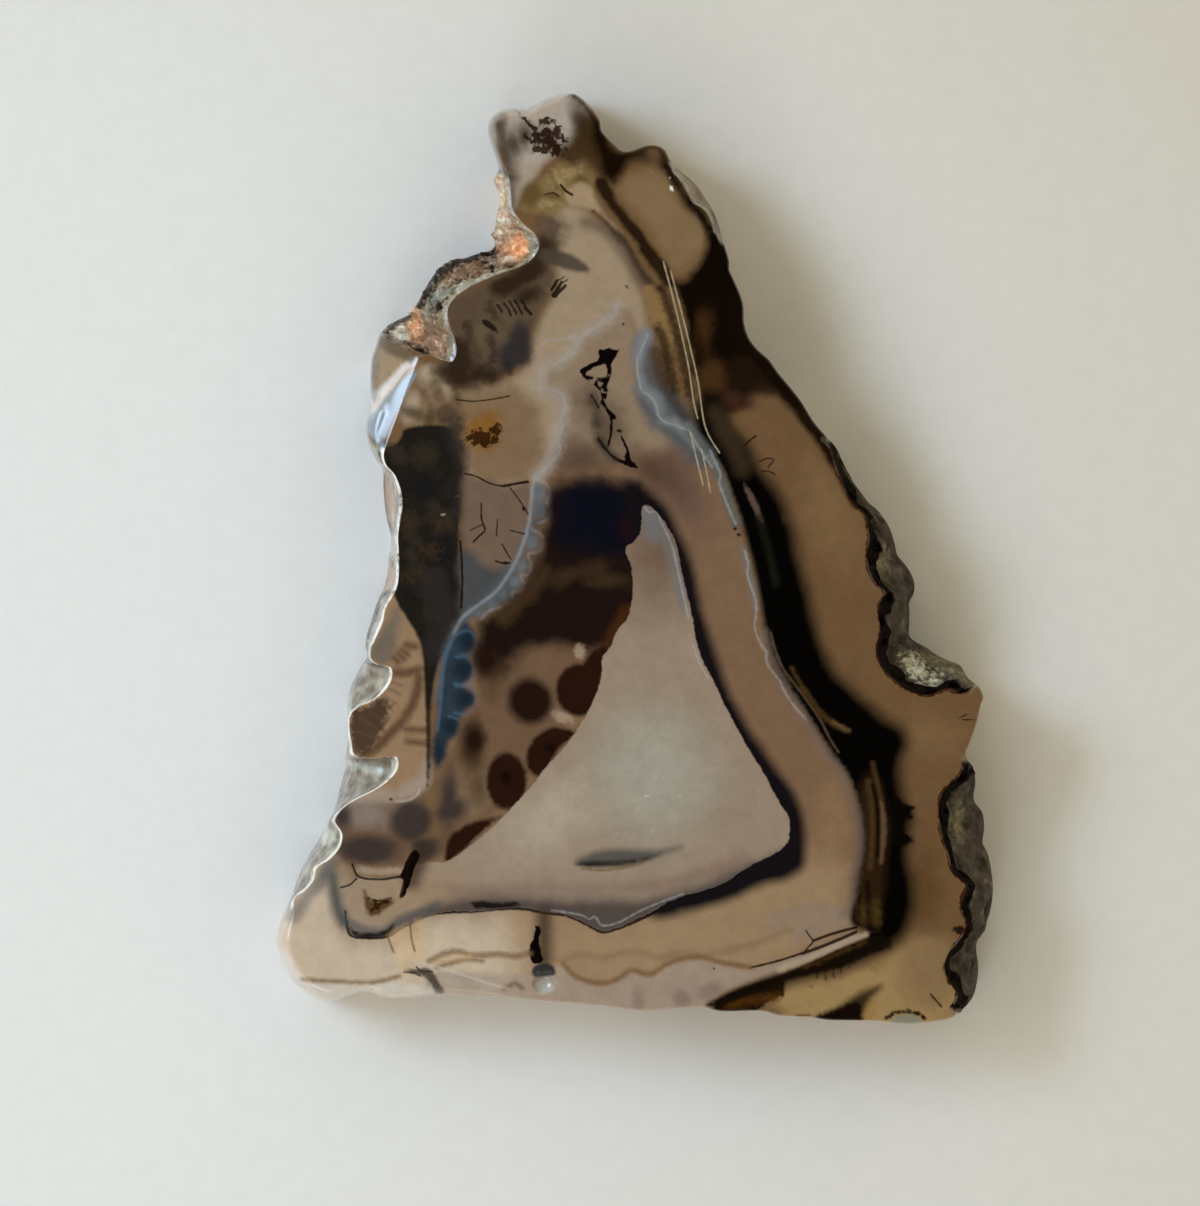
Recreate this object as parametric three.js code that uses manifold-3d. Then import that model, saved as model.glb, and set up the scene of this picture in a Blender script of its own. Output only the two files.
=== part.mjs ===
// A polished agate slice lying flat: one stone, sawn through on both faces, with its natural rim.
// Millimetres, +Z up. The origin is under the middle of the slice, on the surface that it lies on.
// +Y runs towards the narrow tip and +X to the right when the stone is seen from above.
import * as THREE from "three";
import { mergeVertices } from "three/addons/utils/BufferGeometryUtils.js";
import Module from "manifold-3d";

// Driving dimensions
const THICKNESS = 6; // between the two cut faces
const RIM_STEP = 0.6; // largest gap between sections along the rim
const PIT = { x: -5, y: -23.6, radius: 0.65, depth: 0.45 }; // round pit in the face, by the lower edge
const PIT_SIDES = 20;

// Finishes of the rim, from the edge of the cut face down to the widest line round the stone.
// fall: points on the way there, as [share of the way out, share of the way down]
// waist: height of the widest line, as a share of the thickness
// undercut: how far the lower edge draws back from the widest line
// relief: height of the lumps and ledges
const POLISHED = {
  fall: [[0.31, 0.05], [0.59, 0.19], [0.81, 0.41], [0.95, 0.69]],
  waist: 0.45, undercut: 0.45, relief: 0,
};
const FACET = {
  fall: [[0.27, 0.11], [0.55, 0.23], [0.8, 0.42], [0.95, 0.7]],
  waist: 0.4, undercut: 0.5, relief: 0,
};
const CHIP = {
  fall: [[0.1, 0.26], [0.26, 0.5], [0.5, 0.72], [0.76, 0.88]],
  waist: 0.32, undercut: 0.4, relief: 0.04,
};
const RIND = {
  fall: [[0.12, 0.2], [0.32, 0.4], [0.58, 0.52], [0.82, 0.76]],
  waist: 0.25, undercut: 0.45, relief: 0.3,
};
const DRUSE = {
  fall: [[0.08, 0.28], [0.28, 0.48], [0.56, 0.58], [0.82, 0.76]],
  waist: 0.26, undercut: 0.45, relief: 0.36,
};
const RELIEF_PER_WIDTH = 0.16; // lumps stay this small against the width of their slope

// The rim, counter-clockwise from the tip. Each section is [widest x, widest y, face edge x, face edge y].
const RIM = [
  { name: "tip, two smooth lobes", finish: POLISHED, sections: [
    [-3.8, 25.8, -3.8, 25.3], [-5.0, 25.5, -4.8, 25.05], [-6.05, 24.95, -5.85, 24.5],
    [-6.8, 25.0, -6.8, 24.5], [-7.6, 24.8, -7.3, 24.35], [-8.0, 24.4, -7.6, 24.15],
    [-8.17, 23.9, -7.7, 23.8], [-8.05, 23.25, -7.65, 23.2], [-7.75, 22.3, -7.4, 22.25],
    [-7.55, 21.6, -7.15, 21.6],
  ] },
  { name: "crystal-lined pocket", finish: DRUSE, sections: [
    [-7.8, 21.0, -6.95, 20.95], [-7.47, 20.1, -6.85, 20.1], [-7.63, 19.3, -6.75, 19.3],
    [-7.75, 18.5, -6.1, 18.45], [-7.78, 17.8, -5.5, 17.9], [-7.8, 17.35, -5.28, 17.3],
    [-8.05, 17.1, -5.5, 16.75], [-8.6, 16.98, -6.1, 16.25], [-9.4, 16.7, -7.4, 15.75],
    [-10.35, 16.47, -8.5, 15.3], [-10.9, 16.08, -9.3, 14.9], [-11.5, 15.25, -10.0, 14.35],
    [-11.97, 14.4, -10.35, 13.75], [-12.36, 13.7, -10.3, 13.0], [-12.7, 13.45, -10.0, 12.2],
    [-13.05, 13.3, -9.87, 11.5], [-13.4, 13.12, -10.1, 10.85], [-13.7, 12.95, -10.7, 10.95],
    [-14.0, 12.65, -11.4, 11.2],
  ] },
  { name: "ground facet", finish: FACET, sections: [
    [-14.2, 12.35, -11.9, 11.1], [-14.42, 11.7, -12.1, 10.75], [-14.62, 11.1, -12.2, 10.4],
    [-14.7, 10.2, -12.45, 9.8], [-14.7, 9.2, -12.75, 8.9], [-14.75, 8.2, -13.1, 7.9],
    [-14.93, 7.4, -13.5, 6.9], [-14.9, 6.8, -13.75, 6.25], [-14.72, 6.15, -13.7, 5.7],
    [-14.36, 5.4, -13.5, 5.1],
  ] },
  { name: "rippled left edge", finish: CHIP, sections: [
    [-14.02, 4.95, -13.3, 4.6], [-13.98, 4.0, -13.0, 3.9], [-13.9, 2.9, -12.85, 3.0],
    [-13.75, 2.0, -13.0, 2.0], [-13.55, 1.1, -13.1, 1.2], [-13.66, 0.0, -13.05, -0.1],
    [-13.85, -1.4, -13.15, -1.6], [-14.4, -2.7, -13.8, -2.9], [-14.62, -3.4, -13.95, -3.6],
    [-14.9, -4.3, -14.35, -4.5], [-14.98, -4.95, -14.6, -5.05], [-14.87, -5.5, -14.6, -5.6],
  ] },
  { name: "two flake scars", finish: CHIP, sections: [
    [-15.1, -5.85, -14.2, -5.95], [-15.25, -6.1, -13.5, -6.1], [-15.5, -6.6, -13.45, -6.7],
    [-15.75, -7.1, -13.8, -7.35], [-15.9, -7.65, -14.5, -7.95], [-15.97, -8.2, -15.3, -8.3],
    [-16.0, -8.8, -15.75, -8.8], [-15.98, -10.4, -15.65, -10.45], [-16.05, -10.95, -15.5, -10.95],
    [-16.08, -11.25, -14.3, -11.15], [-16.07, -11.5, -13.2, -11.05], [-16.15, -11.95, -13.1, -11.65],
    [-16.3, -12.5, -13.5, -12.25], [-16.45, -13.05, -14.3, -12.85], [-16.58, -13.5, -15.3, -13.35],
    [-16.72, -14.05, -16.15, -13.9], [-17.0, -14.6, -16.6, -14.6], [-17.3, -15.1, -16.2, -15.3],
    [-17.6, -15.75, -16.3, -16.0], [-18.05, -16.45, -16.9, -16.75], [-18.4, -17.05, -17.6, -17.2],
    [-18.7, -17.7, -17.8, -17.9], [-18.95, -18.4, -18.3, -18.5], [-19.2, -19.15, -18.85, -18.9],
  ] },
  { name: "smooth lower edge", finish: POLISHED, sections: [
    [-19.6, -20.0, -18.9, -19.9], [-19.87, -20.8, -19.1, -20.8], [-19.92, -21.5, -19.15, -21.5],
    [-19.7, -22.25, -18.95, -22.1], [-19.35, -23.05, -18.7, -22.7], [-18.8, -23.8, -18.25, -23.25],
    [-18.0, -24.37, -17.7, -23.7], [-17.35, -24.62, -17.2, -23.9], [-16.7, -24.66, -16.6, -23.95],
    [-16.0, -24.42, -15.95, -23.75], [-14.9, -24.17, -14.9, -23.65], [-13.75, -24.53, -13.7, -23.95],
    [-11.0, -24.4, -11.0, -23.9], [-7.1, -24.42, -7.1, -24.0], [-5.0, -24.62, -5.0, -24.2],
    [-2.4, -24.82, -2.4, -24.4], [0.6, -25.14, 0.6, -24.75], [2.4, -25.0, 2.4, -24.65],
    [3.8, -24.97, 3.8, -24.65], [4.7, -25.17, 4.7, -24.85], [7.2, -25.18, 7.2, -24.85],
    [7.9, -25.4, 7.9, -25.0], [9.8, -25.52, 9.8, -25.2], [10.6, -25.66, 10.6, -25.3],
    [13.4, -25.72, 13.4, -25.4], [15.0, -25.88, 15.0, -25.35], [16.8, -25.73, 16.6, -25.2],
    [17.7, -25.5, 17.2, -25.0],
  ] },
  { name: "lower rind", finish: RIND, sections: [
    [18.4, -25.05, 17.65, -24.75], [18.9, -24.35, 17.85, -24.1], [19.1, -23.5, 17.35, -23.4],
    [19.15, -22.7, 17.15, -22.7], [19.05, -21.95, 17.4, -21.9], [19.07, -21.45, 17.95, -21.2],
    [19.45, -20.7, 18.4, -20.4], [19.77, -19.85, 18.12, -19.6], [19.95, -18.9, 18.12, -18.9],
    [19.95, -18.0, 18.4, -18.2], [19.83, -17.15, 17.6, -17.4], [19.65, -16.4, 17.38, -16.5],
    [19.4, -15.9, 17.1, -15.75], [19.48, -15.0, 16.87, -14.9], [19.38, -14.2, 16.85, -14.0],
    [18.9, -13.5, 17.0, -13.1], [19.0, -12.5, 17.7, -12.35], [18.88, -11.75, 18.15, -11.75],
  ] },
  { name: "right corner", finish: POLISHED, sections: [
    [18.37, -10.95, 18.05, -10.9], [18.6, -10.3, 18.3, -10.2], [18.95, -9.3, 18.65, -9.2],
    [19.24, -8.1, 18.95, -8.15], [19.36, -7.75, 19.05, -7.8], [19.1, -7.13, 18.75, -7.55],
  ] },
  { name: "upper rind", finish: RIND, sections: [
    [18.65, -6.78, 18.1, -7.55], [18.08, -5.97, 17.2, -7.38], [17.6, -5.78, 16.3, -7.68],
    [16.97, -5.5, 15.3, -7.4], [16.25, -5.0, 14.4, -6.85], [15.6, -4.65, 13.7, -6.05],
    [15.31, -4.35, 13.4, -5.1], [15.31, -3.7, 13.62, -4.1], [15.32, -2.9, 13.5, -3.0],
    [15.31, -2.5, 13.6, -2.4], [15.55, -2.0, 13.85, -1.95], [15.6, -1.5, 13.3, -1.4],
    [15.48, -1.05, 12.95, -0.7], [15.2, -0.55, 12.85, -0.1], [14.65, 0.15, 12.9, 0.6],
    [14.5, 0.75, 12.95, 1.2], [14.3, 1.45, 12.85, 1.8], [14.0, 2.05, 12.7, 2.35], [13.55, 2.6, 12.2, 2.9],
    [13.1, 3.0, 11.85, 3.3], [12.6, 3.65, 11.6, 3.9], [12.15, 4.3, 11.35, 4.4], [11.5, 5.55, 10.95, 5.55],
    [11.25, 6.1, 10.85, 6.0],
  ] },
  { name: "long right edge", finish: POLISHED, sections: [
    [10.6, 6.78, 10.2, 6.6], [9.95, 7.55, 9.6, 7.35], [9.2, 8.75, 8.85, 8.55], [7.95, 10.3, 7.6, 10.05],
    [7.48, 10.97, 7.1, 10.75], [6.85, 11.53, 6.5, 11.3], [6.37, 12.15, 6.0, 12.0], [6.1, 12.97, 5.72, 12.9],
    [6.03, 14.1, 5.65, 14.0], [5.48, 15.5, 5.1, 15.4], [5.27, 15.95, 4.9, 15.95], [5.27, 16.4, 4.88, 16.4],
    [5.02, 17.3, 4.6, 17.2],
  ] },
  { name: "rind by the tip", finish: RIND, sections: [
    [4.8, 18.1, 4.35, 18.05], [4.55, 18.95, 4.1, 18.9], [4.2, 19.63, 3.75, 19.35], [3.87, 20.1, 3.2, 19.65],
    [3.5, 20.67, 2.8, 20.4], [3.05, 21.12, 2.45, 20.95], [2.5, 21.58, 2.1, 21.35],
  ] },
  { name: "right lobe of the tip", finish: POLISHED, sections: [
    [1.97, 22.05, 1.65, 21.9], [1.75, 22.55, 1.4, 22.3], [1.4, 22.82, 1.15, 22.5],
    [0.94, 22.89, 0.85, 22.55], [0.4, 22.79, 0.4, 22.45], [-0.15, 22.58, -0.2, 22.2],
    [-0.65, 22.55, -0.75, 22.15], [-1.07, 22.87, -1.3, 22.5], [-1.85, 23.75, -2.25, 23.55],
    [-1.87, 24.15, -2.3, 24.0], [-2.55, 25.14, -2.9, 24.75], [-3.35, 25.74, -3.45, 25.25],
  ] },
];

// The lower half of every rim: points from the widest line in to the lower edge, as [share in, share down].
const LOWER_FALL = [[0.1, 0.4], [0.4, 0.78]];

// One list of rim sections, each with the two points that it joins and its finish.
function rimSections() {
  return RIM.flatMap(({ finish, sections }) =>
    sections.map(([x, y, faceX, faceY]) => ({
      widest: new THREE.Vector3(x, y, 0),
      faceEdge: new THREE.Vector3(faceX, faceY, 0),
      finish,
    })),
  );
}

// Low lumps and ledges on rough stone: three waves that run along the rim and down it.
function lumps(along, down) {
  const ledges = Math.sin(along * 1.9 + down * 2.3);
  const knobs = Math.sin(along * 3.7 - down * 4.1 + 1.2);
  const folds = Math.sin(along * 0.8 + down * 7.0 + 0.5);
  return (ledges + knobs + folds) / 3;
}

// Loops of points round the stone, from the edge of the upper face to the edge of the lower one.
// Each point lies between the face edge and the widest line of its section, moved out by the lumps.
function rimLoops() {
  const sections = rimSections();
  const count = sections.length;
  const widestCurve = new THREE.CatmullRomCurve3(sections.map((s) => s.widest), true, "centripetal");
  const faceCurve = new THREE.CatmullRomCurve3(sections.map((s) => s.faceEdge), true, "centripetal");
  const columns = [];
  let along = 0;
  sections.forEach((section, index) => {
    const next = sections[(index + 1) % count];
    const length = section.widest.distanceTo(next.widest);
    const steps = Math.max(1, Math.ceil(length / RIM_STEP));
    for (let k = 0; k < steps; k += 1) {
      const share = k / steps;
      const place = (index + share) / count;
      columns.push(rimColumn(section.finish, next.finish, share, along + length * share,
        widestCurve.getPoint(place), faceCurve.getPoint(place)));
    }
    along += length;
  });
  return columns[0].map((_, level) => columns.map((column) => column[level]));
}

// The points of one section from top to bottom, its finish blended from that of its two neighbours.
function rimColumn(finish, nextFinish, share, along, widest, faceEdge) {
  const blend = (a, b) => THREE.MathUtils.lerp(a, b, share);
  const waist = THICKNESS * blend(finish.waist, nextFinish.waist);
  const width = widest.distanceTo(faceEdge);
  const relief = Math.min(blend(finish.relief, nextFinish.relief), RELIEF_PER_WIDTH * width);
  const drawBack = Math.min(0.9, blend(finish.undercut, nextFinish.undercut) / width);
  const outward = widest.clone().sub(faceEdge).normalize();
  const column = [new THREE.Vector3(faceEdge.x, faceEdge.y, THICKNESS)];
  const place = (out, height, lift) => {
    const point = faceEdge.clone().lerp(widest, out).addScaledVector(outward, lift);
    column.push(new THREE.Vector3(point.x, point.y, height));
  };
  finish.fall.forEach(([out, down], level) => {
    const [nextOut, nextDown] = nextFinish.fall[level];
    const height = THICKNESS - blend(down, nextDown) * (THICKNESS - waist);
    const lift = relief * lumps(along, height);
    place(blend(out, nextOut), height + lift, lift);
  });
  place(1, waist, 0);
  LOWER_FALL.forEach(([inward, down]) => {
    const height = waist * (1 - down);
    place(1 - inward * drawBack, height, 0);
  });
  place(1 - drawBack, 0, 0);
  return column;
}

// A closed skin: bands of triangles between the loops, and a flat triangulated face at each end.
function stoneGeometry() {
  const loops = rimLoops();
  const around = loops[0].length;
  const positions = loops.flat().flatMap((p) => [p.x, p.y, p.z]);
  const triangles = [];
  for (let level = 0; level < loops.length - 1; level += 1) {
    for (let i = 0; i < around; i += 1) {
      const j = (i + 1) % around;
      const [a, b] = [level * around + i, level * around + j];
      triangles.push(a, a + around, b, b, a + around, b + around);
    }
  }
  const flat = (loop) => loop.map((p) => new THREE.Vector2(p.x, p.y));
  const lowest = (loops.length - 1) * around;
  for (const [a, b, c] of THREE.ShapeUtils.triangulateShape(flat(loops[0]), [])) {
    triangles.push(a, b, c);
  }
  for (const [a, b, c] of THREE.ShapeUtils.triangulateShape(flat(loops.at(-1)), [])) {
    triangles.push(lowest + c, lowest + b, lowest + a);
  }
  const geometry = new THREE.BufferGeometry();
  geometry.setAttribute("position", new THREE.Float32BufferAttribute(positions, 3));
  geometry.setIndex(triangles);
  return geometry;
}

// The ball that leaves the round pit where it meets the upper face.
function pitGeometry() {
  const ballRadius = (PIT.radius ** 2 + PIT.depth ** 2) / (2 * PIT.depth);
  const ball = new THREE.SphereGeometry(ballRadius, PIT_SIDES, PIT_SIDES / 2);
  return ball.translate(PIT.x, PIT.y, THICKNESS - PIT.depth + ballRadius);
}

const wasm = await Module();
wasm.setup();

// A three.js geometry as a closed solid, its shared vertices merged.
function toSolid(geometry) {
  geometry.deleteAttribute("normal");
  geometry.deleteAttribute("uv");
  const merged = mergeVertices(geometry);
  return new wasm.Manifold(new wasm.Mesh({
    numProp: 3,
    vertProperties: merged.attributes.position.array,
    triVerts: new Uint32Array(merged.index.array),
  }));
}

// A closed solid as a three.js geometry.
function toGeometry(solid) {
  const { vertProperties, triVerts } = solid.getMesh();
  const geometry = new THREE.BufferGeometry();
  geometry.setAttribute("position", new THREE.BufferAttribute(vertProperties, 3));
  geometry.setIndex(new THREE.BufferAttribute(triVerts, 1));
  geometry.computeVertexNormals();
  return geometry;
}

const stone = toSolid(stoneGeometry()).subtract(toSolid(pitGeometry()));
const agate = new THREE.MeshStandardMaterial({ color: 0x8c7a6a, roughness: 0.12, metalness: 0 });

const slice = new THREE.Mesh(toGeometry(stone), agate);
slice.name = "agate_slice";

const part = new THREE.Group();
part.add(slice);

export default part;
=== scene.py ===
"""A slice of banded agate lying flat: its fine surface and markings, and the plain studio round it."""
import math
from collections import namedtuple

import bpy
import numpy as np
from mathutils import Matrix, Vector
from mathutils.geometry import delaunay_2d_cdt


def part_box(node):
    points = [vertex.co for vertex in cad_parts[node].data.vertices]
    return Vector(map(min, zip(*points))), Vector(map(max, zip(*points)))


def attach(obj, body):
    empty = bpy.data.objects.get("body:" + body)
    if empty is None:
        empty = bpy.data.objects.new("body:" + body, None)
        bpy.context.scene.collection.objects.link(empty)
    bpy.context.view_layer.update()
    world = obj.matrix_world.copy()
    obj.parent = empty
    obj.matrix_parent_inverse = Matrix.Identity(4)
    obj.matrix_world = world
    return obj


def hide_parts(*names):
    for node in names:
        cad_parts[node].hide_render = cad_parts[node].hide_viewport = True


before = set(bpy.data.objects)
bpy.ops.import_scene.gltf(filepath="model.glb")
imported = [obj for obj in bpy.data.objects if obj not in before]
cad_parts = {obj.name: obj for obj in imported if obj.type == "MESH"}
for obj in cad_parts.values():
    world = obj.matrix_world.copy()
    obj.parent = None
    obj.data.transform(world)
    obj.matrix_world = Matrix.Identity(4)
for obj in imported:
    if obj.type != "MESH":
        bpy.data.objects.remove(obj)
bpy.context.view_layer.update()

# Sizes are in millimetres until a mesh is made.
MM = 0.001
NODE = "agate_slice"
LOW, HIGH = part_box(NODE)
THICKNESS = (HIGH[2] - LOW[2]) / MM
PIT = {"x": -5.0, "y": -23.6, "radius": 0.65, "depth": 0.45}
UPPER_RINGS = 32
LOWER_RINGS = 8
UPPER_GAP = 0.19
LOWER_GAP = 0.42
RELIEF_PER_WIDTH = 0.16
MOST_UNDERCUT = 0.9
SHARP_ANGLE = 38
# How far the bands lean for each millimetre down through the slice
DRIFT = (0.22, -0.16)

# Thin strokes get rows of points of their own, this close together and this clear of what is round them.
THIN_STROKE = 0.19
STROKE_STEP = 0.13
STROKE_MARGIN = 0.05
STROKE_SPACING = 0.035
CLEAR_OF_STROKE = 0.07
CLEAR_OF_EDGE = 0.06
NEAR_STROKE = 0.4
# How finely a marking's lines and outlines are cut when distances to them are measured
LINE_STEP = 0.15
AREA_STEP = 0.2
# How far a smooth outline may swell past its points, and the depth that stands for far outside a shape
AREA_BULGE = 0.3
FAR_OUTSIDE = -3.5

# The rough rim's lumps: waves (round it, up it, start), uneven ground (height, size, seed) and grains.
WAVES = ((1.9, 2.3, 0.0), (3.7, -4.1, 1.2), (0.8, 7.0, 0.5))
UNEVEN = ((0.5, 0.5, 1), (0.3, 0.22, 2))
GRAIN_HEIGHT = 1.3
GRAIN_SIZE = 0.42
GRAIN_SEED = 3
GRAIN_DROP = 0.55
# Lumps fade out over these shares of the way at the face edge and at the widest line, and near the face.
FADE_IN = 0.1
FADE_OUT = 0.12
FADE_DEPTH = 0.5

# How a rim finish falls from the edge of the cut face to the widest line: shares of the way out and down.
# waist and undercut shape the lower half, relief is the height of lumps, step the gap between sections.
# rind, crystal and lip say how much of each look it has.
Finish = namedtuple("Finish", "fall waist undercut relief step rind crystal lip")
POLISHED = Finish(((0.31, 0.05), (0.59, 0.19), (0.81, 0.41), (0.95, 0.69)), 0.45, 0.45, 0.0, 0.3, 0, 0, 0)
EASED = Finish(((0.5, 0.004), (0.8, 0.014), (0.93, 0.06), (0.985, 0.32)), 0.45, 0.45, 0.0, 0.3, 0, 0, 0)
FACET_TOP = Finish(((0.1, 0.038), (0.4, 0.2), (0.75, 0.42), (0.94, 0.7)), 0.4, 0.5, 0.0, 0.2, 0, 0, 0)
FACET_UPPER = Finish(((0.22, 0.075), (0.5, 0.22), (0.8, 0.45), (0.95, 0.7)), 0.4, 0.5, 0.0, 0.2, 0, 0, 0)
FACET_MIDDLE = Finish(((0.41, 0.12), (0.62, 0.25), (0.85, 0.48), (0.96, 0.72)), 0.4, 0.5, 0.0, 0.2, 0, 0, 0)
FACET_LOWER = Finish(((0.36, 0.085), (0.72, 0.16), (0.9, 0.34), (0.97, 0.65)), 0.4, 0.5, 0.0, 0.2, 0, 0, 0)
FACET_FOOT = Finish(((0.42, 0.062), (0.62, 0.2), (0.85, 0.45), (0.96, 0.7)), 0.4, 0.5, 0.0, 0.2, 0, 0, 1)
CHIP = Finish(((0.18, 0.025), (0.34, 0.4), (0.52, 0.7), (0.78, 0.88)), 0.32, 0.4, 0.04, 0.15, 0, 0, 1)
CRUST = CHIP._replace(lip=0.42)
SCAR = Finish(((0.07, 0.012), (0.2, 0.2), (0.5, 0.36), (0.8, 0.6)), 0.32, 0.4, 0.05, 0.15, 0, 0, 1)
RIND = Finish(((0.12, 0.2), (0.32, 0.4), (0.58, 0.52), (0.82, 0.76)), 0.25, 0.45, 0.2, 0.15, 1, 0, 0)
DRUSE = Finish(((0.08, 0.28), (0.28, 0.48), (0.56, 0.58), (0.82, 0.76)), 0.26, 0.45, 0.36, 0.1, 0, 1, 0.48)

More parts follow.
